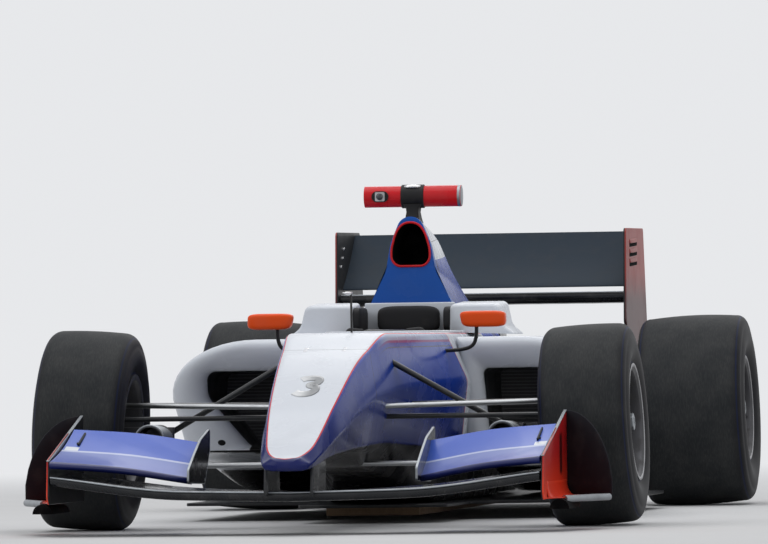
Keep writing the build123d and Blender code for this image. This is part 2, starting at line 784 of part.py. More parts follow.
rear_disc_face = -75
rear_upright_x = 654
rear_uprights = []
for side, name in ((1, "left"), (-1, "right")):
    wheel = wheel_plane(side, wheelbase, rear_track, rear_tyre_radius, rear_camber)
    tyre = tyre_solid(wheel, rear_tyre_radius, rear_tyre_width, rear_rim_width)
    keep(tyre, f"rear_tyre_{name}")
    rim = rim_solid(wheel, rear_rim_width, rear_disc_face, shaft_end=112 - rear_track / 2)
    keep(rim, f"rear_rim_{name}")

    with BuildPart() as rear_upright:
        with Locations((side * rear_upright_x, y_of(wheelbase), wheel.origin.Z)):
            Box(2 * upright_half - 2, 70, 250)
        with BuildSketch(wheel.offset(-150)):
            Circle(spindle_radius + 4)
        extrude(amount=70, mode=Mode.SUBTRACT)
        add(caliper(wheel, rear_disc_face))
        with Locations((side * (rear_upright_x + 6), y_of(wheelbase + 68), wheel.origin.Z)):
            Box(38, 70, 70)
    keep(rear_upright, f"rear_upright_{name}")
    rear_uprights.append(rear_upright.part)

# Each row: outer end and inner end of an arm's leg or of the pullrod (x, station, z)
rear_rods = [
    ((650, wheelbase, 440), (60, wheelbase - 275, 372)),
    ((650, wheelbase, 440), (40, wheelbase + 205, 372)),
    ((650, wheelbase, 222), (60, wheelbase - 255, 180)),
    ((650, wheelbase, 222), (40, wheelbase + 225, 236)),
    ((630, wheelbase - 15, 250), (60, wheelbase - 135, 392)),
]
with BuildPart() as rear_suspension:
    for side in (1, -1):
        for outer, inner in rear_rods:
            add(rod((side * outer[0], *outer[1:]), (side * inner[0], *inner[1:]), arm_tube_radius))
    add(gearbox.part, mode=Mode.SUBTRACT)
    add(rear_uprights, mode=Mode.SUBTRACT)
keep(rear_suspension, "rear_suspension")

for piece in pieces:
    export_step(piece, f"parts/{piece.label}.step")
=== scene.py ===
"""Open wheel racing car: the finish of every surface and the fine pieces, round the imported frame.

Every piece is in metres in the frame of the car: nose toward -Y, left side toward +X, ground at z = 0.
The tables give millimetres: x is across the car, z is up, and a station is a distance behind the front axle.
"""
import json
from math import cos, pi, radians, sin

import bmesh
import bpy
import numpy as np
from mathutils import Matrix, Vector


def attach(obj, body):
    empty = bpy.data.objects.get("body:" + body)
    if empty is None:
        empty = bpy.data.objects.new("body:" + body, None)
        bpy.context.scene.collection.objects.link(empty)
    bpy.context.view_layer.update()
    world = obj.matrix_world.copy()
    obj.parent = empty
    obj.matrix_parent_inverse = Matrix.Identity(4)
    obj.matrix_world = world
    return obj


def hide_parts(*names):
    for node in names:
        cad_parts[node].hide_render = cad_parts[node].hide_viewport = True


bl_info = {
    "name": "Open wheel racing car",
    "version": (1, 0, 0),
    "blender": (4, 5, 0),
    "location": "3D View > Sidebar > Race Car",
    "description": "Builds a single seat racing car round its packed frame",
    "category": "Add Mesh",
}

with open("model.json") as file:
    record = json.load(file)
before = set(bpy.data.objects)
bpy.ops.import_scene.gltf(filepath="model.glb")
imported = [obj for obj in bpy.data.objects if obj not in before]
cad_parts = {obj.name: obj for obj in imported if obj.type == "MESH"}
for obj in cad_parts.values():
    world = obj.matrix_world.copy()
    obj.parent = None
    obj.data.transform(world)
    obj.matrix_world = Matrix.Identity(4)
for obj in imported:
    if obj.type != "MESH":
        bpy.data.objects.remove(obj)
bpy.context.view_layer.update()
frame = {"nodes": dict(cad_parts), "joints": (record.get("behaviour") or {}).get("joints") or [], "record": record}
JOINTS = {joint["name"]: joint for joint in frame["joints"]}
FRONT_AXLE = JOINTS["front_left_steer"]["pos_m"][1]
MM = 0.001
SIDES = (("left", 1), ("right", -1))
# Points in each round corner of the body's and cover's outlines, and the left crest's place in the body's
RING_STEPS = 9
CREST = 4 * RING_STEPS - 1
RIDES = {node: body for body, nodes in frame["record"]["behaviour"]["bodies"].items() for node in nodes}

# Deck's white: the station where it starts; in metres, its distance from the top edge and corner radius
DECK_START = -1092
DECK_INSET = 0.004
DECK_CORNER = 0.042
# How far the white at the sidepods runs ahead of them
WHITE_LEAD = 62
# Each row: station, (half width, height) of keel, lower edge, side and top edge, and their corner radii
BODY_ROWS = [
    (-1109, (34, 199), (46, 202), (56, 208), (36, 217), (3, 4, 3, 4)),
    (-1080, (44, 193), (64, 198), (76, 214), (46, 233), (5, 8, 8, 10)),
    (-1002, (56, 200), (78, 208), (90, 235), (72, 265), (5, 12, 14, 12)),
    (-770, (70, 226), (98, 236), (119, 300), (101, 383), (8, 14, 30, 15)),
    (-430, (84, 240), (122, 252), (146, 380), (126, 519), (10, 16, 60, 18)),
    (-300, (90, 242), (132, 256), (158, 410), (136, 553), (10, 18, 60, 18)),
    (-60, (74, 188), (140, 262), (182, 430), (158, 605), (15, 30, 60, 22)),
    (380, (90, 150), (168, 250), (220, 445), (182, 605), (15, 30, 60, 22)),
    (900, (180, 62), (212, 236), (262, 450), (210, 605), (15, 30, 60, 22)),
    (1950, (220, 62), (240, 236), (285, 450), (230, 605), (15, 30, 60, 22)),
]
NOSE_TIP = -1109
NOSE_MIDDLE = (0, 206)
NOSE_SPLIT = -300
TUB_END = 1950
TUB_TOP = 605
# Cockpit opening: front and rear stations, half widths of the front edge and of the sides, corner radius
COCKPIT = dict(front=790, rear=1500, front_half=150, wide_from=1000, half=205, corner=60)
# Each row of the cavity: station, half width and height of its lower corners, then of its upper corners
CAVITY_ROWS = [(150, (100, 290), (125, 560)), (790, (140, 110), (190, 570)), (1540, (165, 110), (205, 570))]

# Engine cover. Each row: station, bottom z, top z, and half widths from the bottom to the top
COVER_ROWS = [
    (1520, 607, 990, (180, 132, 84, 67, 31)),
    (1960, 560, 925, (262, 165, 100, 58, 24)),
    (2350, 500, 790, (250, 180, 110, 55, 20)),
    (2780, 420, 640, (170, 135, 95, 50, 18)),
]
COVER_LEVELS = (0, 0.27, 0.52, 0.77, 1)
COVER_RADII = [(3, 60, 90, 90, 44), (3, 60, 90, 90, 20), (3, 60, 90, 90, 16), (3, 60, 90, 60, 14)]
# Where the cover's front ring ends, and both ends (station, metres up) of its white spine's lower border
COVER_JOINT = 1556
SPINE = ((1560, 0.846), (2150, 0.868))
# Air intake's mouth: (half width, z) from sill to crown, one corner for each of the cover's, and radii
MOUTH = [(44, 826), (64, 846), (64, 882), (50, 934), (26, 970)]
MOUTH_RADII = (30, 36, 120, 110, 45)
MOUTH_MIDDLE = (0, 893)
# Camera pod: middle and radius of its capsule, and x of its lens
CAPSULE_CENTRE = (0, 1601, 1057)
CAPSULE_RADIUS = 35
LENS_X = -106

# Sidepods. Each row: station, half width, z of flank, top and bottom, half width of the foot, inner x, crest
POD_ROWS = [
    (1500, 727, 395, 590, 190, 705, 240, 185),
    (2100, 640, 340, 540, 75, 622, 275, 165),
    (2760, 380, 240, 420, 62, 400, 275, 60),
]
POD_FRONT_ROW = (727, 395, 590, 222, 702, 225, 185)
POD_TOP = 590
POD_FRONT = 925
POD_RAKE = 0.6747
POD_JOINT = 1478
INLET = [(300, 240), (489, 240), (612, 405), (606, 489), (300, 489)]
INLET_RADII = (20, 40, 60, 34, 20)
INLET_END = 1428

# Wings. Each row: x, leading edge (station, z), trailing edge (station, z)
MAIN_PLANE = [
    (0, (-1010, 118), (-720, 124)),
    (345, (-985, 124), (-690, 140)),
    (740, (-945, 170), (-610, 190)),
]
FLAP = [(351, (-718, 158), (-485, 273)), (560, (-842, 196), (-515, 306)), (741, (-950, 215), (-542, 319))]
# Front end plates: inner face, thickness, outline (station, z), height of the sole, (x, station) of its tip
ENDPLATE_X = 744
ENDPLATE_THICK = 9
ENDPLATE = [(-945, 118), (-929, 232), (-374, 361), (-374, 98), (-925, 98)]
SOLE_Z = 101
FOOT_TIP = (906, -492)
FENCE_X = 348
FENCE = [(-784, 156), (-780, 197), (-664, 246), (-565, 284), (-400, 316), (-408, 250), (-505, 150)]
# Rear planes: leading edge, trailing edge (station, z), thickness, sag and share of the chord in a blunt nose
REAR_MAIN = ((3215, 731), (3430, 745), 40, 14.4, 0.10)
REAR_FLAP = ((3300, 765), (3590, 961), 20, 20.8, None)
REAR_BEAM = ((3480, 400), (3660, 440), 18, 11.2, None)
REAR_WING_HALF = 504
REAR_ENDPLATE = [(3176, 640), (3200, 967), (3707, 972), (3793, 640), (3760, 330), (3470, 330), (3300, 560)]
REAR_ENDPLATE_THICK = 10

MIRROR_STATION = 757
NUMBER_PLACE = (-3, -632)
# Louvres of a rear end plate, lowest first: z of the middle, and stations of the ends
LOUVRE_LEVELS = (845, 879, 913)
LOUVRE_ENDS = (3290, 3510)
PLATE_BOLTS = [(3318, 909), (3290, 876), (3250, 845)]

# Wheels: end of the car, tyre radius, tyre width, rim width and inner face of the brake disc
AXLES = [("front", 310, 284, 267, -45), ("rear", 329, 376, 343, -75)]
RIM_RADIUS = 165
SPOKES = 10
# Sections round the axle, as (distance, radius): from the disc's inner face, and two from the spokes' middle
DISC = [
    (0, 60), (0, 129), (1, 130), (11, 130), (11, 122), (17, 122), (17, 130), (27, 130), (28, 129), (28, 60),
]
HUB = [(-62, 46), (-26, 50), (-8, 46), (0, 36), (4, 30), (22, 24), (24, 20), (14, 14), (14, 0.01)]
NUT = [(8, 27), (30, 27), (32, 25), (32, 16), (18, 15), (18, 0.01)]
# Spokes: distances from the axle, and at each the half width, half depth and setback from the middle
SPOKE_ROWS = [(40, 15, 11, 12), (70, 11, 10, 16), (110, 9, 9, 22), (140, 11, 10, 24), (160, 17, 13, 22)]

# Suspension: ball joints on the steering axis, inner pivots (x, station, z), and rods of the rear
KINGPIN_X = 715
UPPER_BALL_Z = 388
LOWER_BALL_Z = 196
UPPER_LEGS = [(90, -160, 376), (90, 260, 380)]
LOWER_LEGS = [(40, -82, 200), (40, 300, 196)]
PUSHROD_FOOT = (655, 0, 233)
PUSHROD_HEAD = (140, -45, 528)
REAR_RODS = [
    ((650, 3125, 440), (60, 2850, 372)),
    ((650, 3125, 440), (40, 3330, 372)),
    ((650, 3125, 222), (60, 2870, 180)),
    ((650, 3125, 222), (40, 3350, 236)),
    ((630, 3110, 250), (60, 2990, 392)),
]
# The way a teardrop section's thin edge points: to the rear, and just off the axis that an arm may run along
REARWARD = (0, 1, 0.001)

# Cockpit's side boxes: corners (x, z) at their front, what is added by their rear end, and their radii
SIDE_BOX = [(158, 606), (372, 598), (334, 628), (317, 697), (160, 697)]
SIDE_BOX_GAIN = [(0, 0), (4, 0), (6, 0), (6, 10), (8, 10)]
SIDE_BOX_RADII = (3, 2, 44, 22, 14)
# Seat: its line (station, z) from the knees up the back, half width, and how far its sides stand up
SEAT_LINE = [(860, 168), (1050, 158), (1250, 158), (1345, 262), (1432, 440), (1464, 596)]
SEAT_HALF = 138
SEAT_DEPTH = 62
# Left belts: x at both ends, places along the seat's line in rows of it, and width
BELTS = [(62, 92, 4.85, 2.1, 50), (20, 96, 1.9, 2.4, 44), (14, 30, 1.2, 1.9, 34)]
# Buttons on the steering wheel: x and height from its middle
BUTTONS = [(-62, 40), (62, 40), (-62, 10), (62, 10), (-56, -24), (56, -24), (-26, -6), (0, -6), (26, -6)]

# CAD nodes that show as they are, with their finishes; every other node has a piece in its place
NODE_FINISHES = {"engine": "cast", "exhausts": "steel"}
# CAD nodes that show in their own form with soft edges, and their finishes
SOFT_FORMS = {"gearbox": "cast", "crash_structure": "gloss_carbon", "diffuser": "carbon", "floor": "plank"}

# Area lamps: place, size in metres and power
LAMPS = {
    "sky": ((0, 0, 9), 9, 480),
    "key": ((-6, -7, 6), 6, 150),
    "fill": ((7, -8, 5), 6, 120),
    "back": ((1, 8, 6), 6, 120),
}


class Flow:
    """One output socket of a material. An expression on flows adds its Math nodes."""

    def __init__(self, recipe, socket):
        self.recipe = recipe
        self.socket = socket

    def maths(self, operation, *values):
        """A Math node of an operation on up to three values or flows."""
        return self.recipe.add("ShaderNodeMath", {"operation": operation}, dict(enumerate(values)))

    def __add__(self, other):
        return self.maths("ADD", self, other)

    def __sub__(self, other):
        return self.maths("SUBTRACT", self, other)

    def __rsub__(self, other):
        return self.maths("SUBTRACT", other, self)

    def __mul__(self, other):
        return self.maths("MULTIPLY", self, other)

    def __gt__(self, other):
        return self.maths("GREATER_THAN", self, other)

    def __abs__(self):
        return self.maths("ABSOLUTE", self)

    __radd__ = __add__
    __rmul__ = __mul__

    def least(self, other):
        return self.maths("MINIMUM", self, other)

    def most(self, other):
        return self.maths("MAXIMUM", self, other)

    def wave(self):
        return self.maths("SINE", self)

    def root(self):
        return self.maths("SQRT", self)

    def part(self):
        """What is left after the whole number."""
        return self.maths("FRACT", self)


class Recipe:
    """A material under construction round one Principled shader, or a world round one Background."""

    def __init__(self, name, world=None):
        self.material = world or bpy.data.materials.new(name)
        self.material.use_nodes = True
        self.tree = self.material.node_tree
        self.tree.nodes.clear()
        self.output = self.tree.nodes.new("ShaderNodeOutputWorld" if world else "ShaderNodeOutputMaterial")
        self.shader = self.tree.nodes.new("ShaderNodeBackground" if world else "ShaderNodeBsdfPrincipled")
        self.tree.links.new(self.shader.outputs[0], self.output.inputs[0])
        self.found = {}

    def plug(self, socket, value):
        """Links a flow to a socket, or sets the socket's own value."""
        if isinstance(value, Flow):
            self.tree.links.new(value.socket, socket)
        elif socket.type == "RGBA" and len(value) == 3:
            socket.default_value = (*value, 1)
        else:
            socket.default_value = value

    def add(self, kind, settings=None, sockets=None, out=0):
        """Adds a node: its settings first, then the values or links of its sockets."""
        node = self.tree.nodes.new(kind)
        for name, value in (settings or {}).items():
            setattr(node, name, value)
        for name, value in (sockets or {}).items():
            self.plug(node.inputs[name], value)
        return Flow(self, node.outputs[out])

    def set(self, **values):
        """Sets sockets of the shader, whose names are written with underscores."""
        for name, value in values.items():
            self.plug(self.shader.inputs[name.replace("_", " ")], value)
        return self

    def place(self):
        """Position on the object at rest, in metres, as three flows."""
        if "xyz" not in self.found:
            self.found["place"] = self.add("ShaderNodeTexCoord", out="Object")
            whole = {0: self.found["place"]}
            self.found["xyz"] = [self.add("ShaderNodeSeparateXYZ", None, whole, axis) for axis in range(3)]
        return self.found["xyz"]

    def station(self):
        """Distance behind the front axle, in millimetres."""
        if "station" not in self.found:
            self.found["station"] = (self.place()[1] - FRONT_AXLE) * 1000
        return self.found["station"]

    def mark(self, name):
        """A number that the piece's own mesh carries at each point."""
        return self.add("ShaderNodeAttribute", {"attribute_name": name}, out="Fac")

    def seen(self):
        """1 for rays from the camera, off gloss or through glass."""
        kinds = ("Camera", "Glossy", "Transmission")
        rays = [self.add("ShaderNodeLightPath", out=f"Is {kind} Ray") for kind in kinds]
        return (rays[0] + rays[1] + rays[2]).least(1.0)

    def noise(self, scale, detail, stretch=(1, 1, 1), rough=0.5):
        """Soft noise from 0 to 1, its scale in cells per metre."""
        self.place()
        spot = self.add("ShaderNodeMapping", None, {"Vector": self.found["place"], "Scale": stretch})
        sockets = {"Vector": spot, "Scale": scale, "Detail": detail, "Roughness": rough}
        return self.add("ShaderNodeTexNoise", None, sockets)

    def ease(self, value, low, high, bottom=0.0, top=1.0, kind="SMOOTHSTEP"):
        """Smooth step of a value from bottom at low to top at high."""
        sockets = {"Value": value, "From Min": low, "From Max": high, "To Min": bottom, "To Max": top}
        return self.add("ShaderNodeMapRange", {"interpolation_type": kind}, sockets)

    def line(self, value, low, high, bottom=0.0, top=1.0):
        """Straight ramp of a value from bottom at low to top at high, held outside them."""
        return self.ease(value, low, high, bottom, top, "LINEAR")

    def beyond(self, value, edge, soft=0.0006):
        """1 where a value passes an edge, with a border as soft as a paint line."""
        return self.ease(value - edge, -soft, soft)

    def band(self, value, low, high, soft=0.0006):
        """1 between two limits."""
        return self.beyond(value, low, soft) * (1 - self.beyond(value, high, soft))

    def blend(self, factor, first, second):
        """Mix of two colours."""
        return self.add("ShaderNodeMix", {"data_type": "RGBA"}, {0: factor, 6: first, 7: second}, out=2)

    def bump(self, height, strength, distance):
        """Bump from a height flow into the shader's normal."""
        sockets = {"Height": height, "Strength": strength, "Distance": distance}
        return self.set(Normal=self.add("ShaderNodeBump", None, sockets, out="Normal"))


# Colours
WHITE = (0.64, 0.67, 0.72)
ROYAL = (0.010, 0.050, 0.36)
AZURE = (0.010, 0.088, 0.40)
FLAP_BLUE = (0.030, 0.095, 0.50)
NAVY = (0.005, 0.010, 0.095)
RED = (0.60, 0.012, 0.018)
MAGENTA = (0.20, 0.015, 0.16)
PALE_BLUE = (0.36, 0.42, 0.58)
BLACK = (0.006, 0.006, 0.007)
BACKDROP = (0.80, 0.81, 0.83)


def scaled(colour, factor):
    """A colour made darker or lighter."""
    return tuple(factor * c for c in colour)


def lacquer(recipe, colour, roughness=0.25, groove=None, coat=0.09, shine=0.14):
    """Lacquered paint: faint orange peel, a film of dust and a clear coat; a groove of 1 is a panel gap."""
    dust = recipe.ease(recipe.noise(9, 6), 0.45, 0.75)
    base = recipe.blend(dust * 0.05, colour, (0.30, 0.28, 0.26))
    height = recipe.noise(260, 2) * 0.15
    if groove is not None:
        base = recipe.blend(groove, base, (0.03, 0.03, 0.035))
        height = height - groove
    recipe.set(Base_Color=base, Roughness=roughness + dust * 0.12, Specular_IOR_Level=shine)
    recipe.set(Coat_Weight=coat, Coat_Roughness=0.06)
    return recipe.bump(height, 0.25, 0.0008).material


def plain_paint(name, colour, roughness=0.25):
    """One colour of lacquered paint."""
    recipe = Recipe(name)
    shade = recipe.ease(recipe.noise(3, 3), 0.3, 0.7)
    return lacquer(recipe, recipe.blend(shade, scaled(colour, 0.93), colour), roughness)


def body_paint():
    """Nose and tub: white deck edged in red, navy flanks with a painted highlight toward the top that end in white
    at the sidepods, black keel.
    """
    recipe = Recipe("body_paint")
    z = recipe.place()[2]
    station = recipe.station()
    edge, girth = recipe.mark("edge") - DECK_INSET, recipe.mark("girth")
    # The deck's white ends before the nose tip in a round front
    front = (station - DECK_START) * MM
    side_gap, front_gap = (DECK_CORNER - edge).most(0.0), (DECK_CORNER - front).most(0.0)
    deck = DECK_CORNER - (side_gap * side_gap + front_gap * front_gap).root()
    # The flanks' paint is navy; their rise to royal blue toward the top is a painted highlight along the crest
    blue = recipe.blend(recipe.ease(z, 0.24, 0.56), NAVY, ROYAL)
    colour = recipe.blend(recipe.ease(recipe.noise(2.2, 3), 0.35, 0.7) * 0.25, blue, ROYAL)
    # Stripes under the deck's edge, which fade in behind the nose joint
    fade = recipe.ease(station, -240, -40)
    for low, high, tint in ((-0.050, -0.046, NAVY), (-0.034, -0.026, MAGENTA), (-0.026, -0.002, PALE_BLUE)):
        colour = recipe.blend(recipe.band(edge, low, high) * fade, colour, tint)
    # White ahead of the raked sidepods and on the deck, each with a thin red line round it
    rake = (POD_FRONT - WHITE_LEAD + POD_RAKE * POD_TOP) - z * (1000 * POD_RAKE)
    for within, line in (((station - rake) * MM, 0.006), (deck, 0.0045)):
        colour = recipe.blend(recipe.beyond(within, -line), colour, RED)
        colour = recipe.blend(recipe.beyond(within, 0.0), colour, WHITE)
    # The tub's end, beside the engine cover, has the cover's blue: the flanks' navy with its painted highlight
    # toward the top
    colour = recipe.blend(recipe.ease(station, 1560, 1600), colour, blue)
    keel = recipe.line(station, -960, -780, -0.08, 0.0)
    colour = recipe.blend(1 - recipe.beyond(girth, keel), colour, BLACK)
    gap = recipe.band(station, NOSE_SPLIT - 1.3, NOSE_SPLIT + 1.3, 0.3)
    return lacquer(recipe, colour, groove=gap)


def cover_paint():
    """Engine cover: blue front ring, navy flanks with a painted highlight toward the top, a white spine with a
    fine dark line, and a latch.
    """
    recipe = Recipe("cover_paint")
    z = recipe.place()[2]
    station = recipe.station()
    (start, low), (end, high) = SPINE
    above = z - recipe.line(station, start, end, low, high)
    behind = recipe.beyond(station, COVER_JOINT, 1.0)
    # The flanks' paint is navy; their rise to royal blue toward the top is a painted highlight
    blue = recipe.blend(recipe.ease(z, 0.5, 0.9), NAVY, ROYAL)
    colour = recipe.blend(behind, AZURE, blue)
    colour = recipe.blend(recipe.beyond(above, 0.0) * behind, colour, WHITE)
    fine = recipe.band(above, 0.058, 0.060) * behind
    joint = recipe.band(station, COVER_JOINT - 1, COVER_JOINT + 1.5, 0.4)
    latch = recipe.band(station, COVER_JOINT + 18, COVER_JOINT + 34, 0.6) * recipe.band(z, 0.797, 0.842)
    return lacquer(recipe, colour, groove=fine.most(joint).most(latch))


def pod_paint():
    """Sidepods: white over a black lower edge that drops to the rear, a panel gap and a small dark vent."""
    recipe = Recipe("sidepod_paint")
    x, _, z = recipe.place()
    station = recipe.station()
    shade = recipe.ease(recipe.noise(4, 3), 0.3, 0.7)
    colour = recipe.blend(shade, scaled(WHITE, 0.95), WHITE)
    out, ahead = abs(x), 1 - recipe.beyond(station, 1300)
    # The vent is an ellipse on the front of the foot
    across, up = (out - 0.576) * (1 / 0.0125), (z - 0.256) * (1 / 0.0095)
    vent = recipe.beyond(1 - (across * across + up * up), 0.0, 0.08) * ahead
    foot = 1 - recipe.beyond(z, recipe.line(station, 1100, 2100, 0.241, 0.09))
    inboard = (1 - recipe.beyond(out, 0.487)) * (1 - recipe.beyond(z, 0.27)) * ahead
    colour = recipe.blend(vent.most(foot).most(inboard), colour, BLACK)
    return lacquer(recipe, colour, groove=recipe.band(station, POD_JOINT, POD_JOINT + 2.5, 0.4))


def carbon(name="carbon_laminate", colour=(0.010, 0.011, 0.013), roughness=0.3):
    """Black twill of woven tows under lacquer, with road dust."""
    pitch = 0.0022
    recipe = Recipe(name)
    x, y, z = recipe.place()
    warp = (x + z * 0.7) * (1 / pitch)
    weft = (y + z * 0.7) * (1 / pitch)
    over = ((warp + weft) * 0.25).part() > 0.5
    tows = (warp * (2 * pi)).wave() * over + (weft * (2 * pi)).wave() * (1 - over)
    dust = recipe.ease(recipe.noise(14, 6), 0.42, 0.8)
    base = recipe.blend(over * 0.6, colour, scaled(colour, 2.4))
    recipe.set(
        Base_Color=recipe.blend(dust * 0.12, base, (0.16, 0.15, 0.14)),
        Roughness=roughness + dust * 0.2,
        Specular_IOR_Level=0.25,
        Coat_Weight=0.2,
        Coat_Roughness=0.08,
    )
    return recipe.bump(tows, 0.06, 0.0003).material


def flap_paint():
    """Front flaps: a navy leading strip that is painted shade, a lilac band, a pale line at mid chord that is a
    painted highlight, and royal blue behind it.
    """
    recipe = Recipe("flap_paint")
    chord, span = recipe.mark("chord"), recipe.mark("span")
    lilac = recipe.blend(recipe.ease(chord, 0.05, 0.46), (0.055, 0.095, 0.40), (0.125, 0.175, 0.47))
    # The navy strip round the leading edge is painted shade where the edge rounds under
    colour = recipe.blend(recipe.beyond(chord, 0.05, 0.004), (0.004, 0.010, 0.10), lilac)
    colour = recipe.blend(recipe.beyond(chord, 0.50, 0.006), colour, FLAP_BLUE)
    # The pale line at mid chord is a painted highlight along a crease
    colour = recipe.blend(recipe.band(chord, 0.46, 0.505, 0.008) * 0.85, colour, (0.50, 0.55, 0.72))
    end_patch = recipe.band(span, 0.885, 0.985, 0.002) * recipe.band(chord, 0.50, 0.60, 0.01)
    colour = recipe.blend(end_patch, colour, WHITE)
    return lacquer(recipe, colour, 0.34, coat=0.15, shine=0.3)


def endplate_paint():
    """Front end plates: red outer face, brighter low down, with a slot painted as a soft dark band of shade, and a
    black inner face.
    """
    recipe = Recipe("endplate_paint")
    z = recipe.place()[2]
    # The slot is not cut: it is a soft dark band of painted shade
    slot = recipe.band(recipe.station(), -560, -500, 14) * recipe.band(z, 0.17, 0.29, 0.01)
    red = recipe.blend(recipe.ease(z, 0.10, 0.26), (0.80, 0.055, 0.018), (0.42, 0.010, 0.012))
    red = recipe.blend(slot, red, (0.03, 0.004, 0.004))
    colour = recipe.blend(recipe.beyond(recipe.mark("outer"), 0.5, 0.01), BLACK, red)
    return lacquer(recipe, colour, 0.3, coat=0.25)


def rear_plate_paint():
    """Rear end plates: outer face dull red that goes grey low down, inner face black."""
    recipe = Recipe("rear_endplate_paint")
    z = recipe.place()[2]
    scuff = recipe.noise(30, 4)
    height = recipe.ease(z + scuff * 0.05, 0.72, 0.86)
    red = recipe.blend(height, (0.10, 0.040, 0.040), (0.30, 0.042, 0.035))
    colour = recipe.blend(recipe.beyond(recipe.mark("outer"), 0.5, 0.01), BLACK, red)
    return lacquer(recipe, colour, 0.5, coat=0.1, shine=0.25)


def rubber():
    """Slick tyre: a scrubbed grey crown with fine graining, smoother darker walls."""
    recipe = Recipe("slick_rubber")
    across = recipe.mark("across")
    crown = 1 - recipe.ease(abs(across), 0.72, 0.93)
    patch = recipe.noise(12, 4)
    grain = recipe.noise(60, 3, (6, 1, 1))
    dusty = recipe.ease(patch, 0.3, 0.75) * 0.5 + recipe.ease(grain, 0.4, 0.7) * 0.5
    ring = recipe.band(abs(across), 0.875, 0.90, 0.01)
    top = recipe.blend(dusty, (0.018, 0.020, 0.022), (0.040, 0.041, 0.041))
    wall = recipe.blend(recipe.ease(patch, 0.4, 0.8), (0.008, 0.008, 0.010), (0.018, 0.018, 0.019))
    base = recipe.blend(ring * 0.7, recipe.blend(crown, wall, top), (0.006, 0.012, 0.045))
    recipe.set(Base_Color=base, Roughness=0.55 + crown * 0.12, Specular_IOR_Level=0.15)
    return recipe.bump(recipe.noise(420, 5, (1, 1, 1), 0.7) * crown - ring * 2, 0.35, 0.0006).material


def metal(name, colour, roughness, grime):
    """Bare or anodised metal with brushed grain and grime."""
    recipe = Recipe(name)
    grain = recipe.noise(300, 3, (1, 8, 1))
    dirt = recipe.ease(recipe.noise(20, 5), 0.45, 0.8) * grime
    recipe.set(
        Base_Color=recipe.blend(dirt, colour, (0.05, 0.045, 0.04)),
        Metallic=1 - dirt,
        Roughness=roughness + grain * 0.12 + dirt * 0.6,
    )
    return recipe.bump(grain, 0.06, 0.0004).material


def moulded(name, colour, roughness=0.5, grain=900, shine=0.2):
    """Moulded resin, leather or webbing with a fine texture."""
    recipe = Recipe(name)
    dirt = recipe.ease(recipe.noise(16, 5), 0.45, 0.8)
    base = recipe.blend(dirt * 0.12, colour, (0.14, 0.13, 0.12))
    recipe.set(Base_Color=base, Roughness=roughness + dirt * 0.15, Specular_IOR_Level=shine)
    return recipe.bump(recipe.noise(grain, 2), 0.15, 0.0003).material


def number_metal():
    """Race number: silver that goes from pale to dark along the digit."""
    recipe = Recipe("number_silver")
    shade = recipe.ease(recipe.mark("across") + recipe.noise(40, 3) * 0.2, 0.2, 1.0)
    colour = recipe.blend(shade, (0.62, 0.63, 0.64), (0.16, 0.17, 0.18))
    recipe.set(Base_Color=colour, Roughness=0.35, Coat_Weight=0.5)
    return recipe.bump(recipe.noise(400, 2), 0.05, 0.0003).material


def radiator_core():
    """Radiator: rows of fins between flat tubes."""
    recipe = Recipe("radiator_core")
    x, _, z = recipe.place()
    fins = (x * 700).part() > 0.5
    tubes = (z * 90).part() > 0.7
    colour = recipe.blend(fins, (0.02, 0.02, 0.022), (0.09, 0.09, 0.095))
    recipe.set(Base_Color=recipe.blend(tubes, colour, (0.13, 0.13, 0.135)), Metallic=0.6, Roughness=0.5)
    return recipe.bump(fins + tubes, 0.5, 0.001).material


def floor_laminate():
    """Floor: black laminate with the worn wooden plank under it."""
    recipe = Recipe("floor_and_plank")
    z = recipe.place()[2]
    grain = recipe.noise(60, 5, (6, 0.5, 1))
    wood = recipe.blend(grain, (0.10, 0.06, 0.035), (0.22, 0.15, 0.09))
    plank = 1 - recipe.beyond(z, 0.0497, 0.0002)
    dust = recipe.ease(recipe.noise(14, 6), 0.42, 0.8)
    black = recipe.blend(dust * 0.15, (0.011, 0.012, 0.014), (0.16, 0.15, 0.14))
    colour = recipe.blend(plank, black, wood)
    recipe.set(Base_Color=colour, Roughness=0.38 + plank * 0.35, Specular_IOR_Level=0.2)
    return recipe.bump(grain, 0.1, 0.0005).material


def glass(name, colour, roughness, silvered=0.0):
    """Mirror or lens glass: a dark or silvered face under a hard coat."""
    recipe = Recipe(name)
    smear = recipe.noise(25, 4)
    recipe.set(
        Base_Color=recipe.blend(smear * 0.2, colour, (0.2, 0.2, 0.2)),
        Metallic=silvered,
        Roughness=roughness + smear * 0.08,
        Coat_Weight=0.5,
    )
    return recipe.material


def floor_finish():
    """Pale studio floor, faintly mottled, that fades into the backdrop's colour away from the car."""
    recipe = Recipe("studio_floor")
    x, y, _ = recipe.place()
    colour = recipe.blend(recipe.noise(2, 4), (0.58, 0.58, 0.58), (0.62, 0.62, 0.62))
    recipe.set(Base_Color=colour, Roughness=0.9, Specular_IOR_Level=0.2)
    away = recipe.ease((x * x + y * y).root(), 3.2, 12.0) * recipe.seen()
    glow = recipe.add("ShaderNodeEmission", None, {"Color": BACKDROP, "Strength": 1.0})
    lit = Flow(recipe, recipe.shader.outputs[0])
    whole = recipe.add("ShaderNodeMixShader", None, {0: away, 1: lit, 2: glow})
    recipe.plug(recipe.output.inputs[0], whole)
    return recipe.material


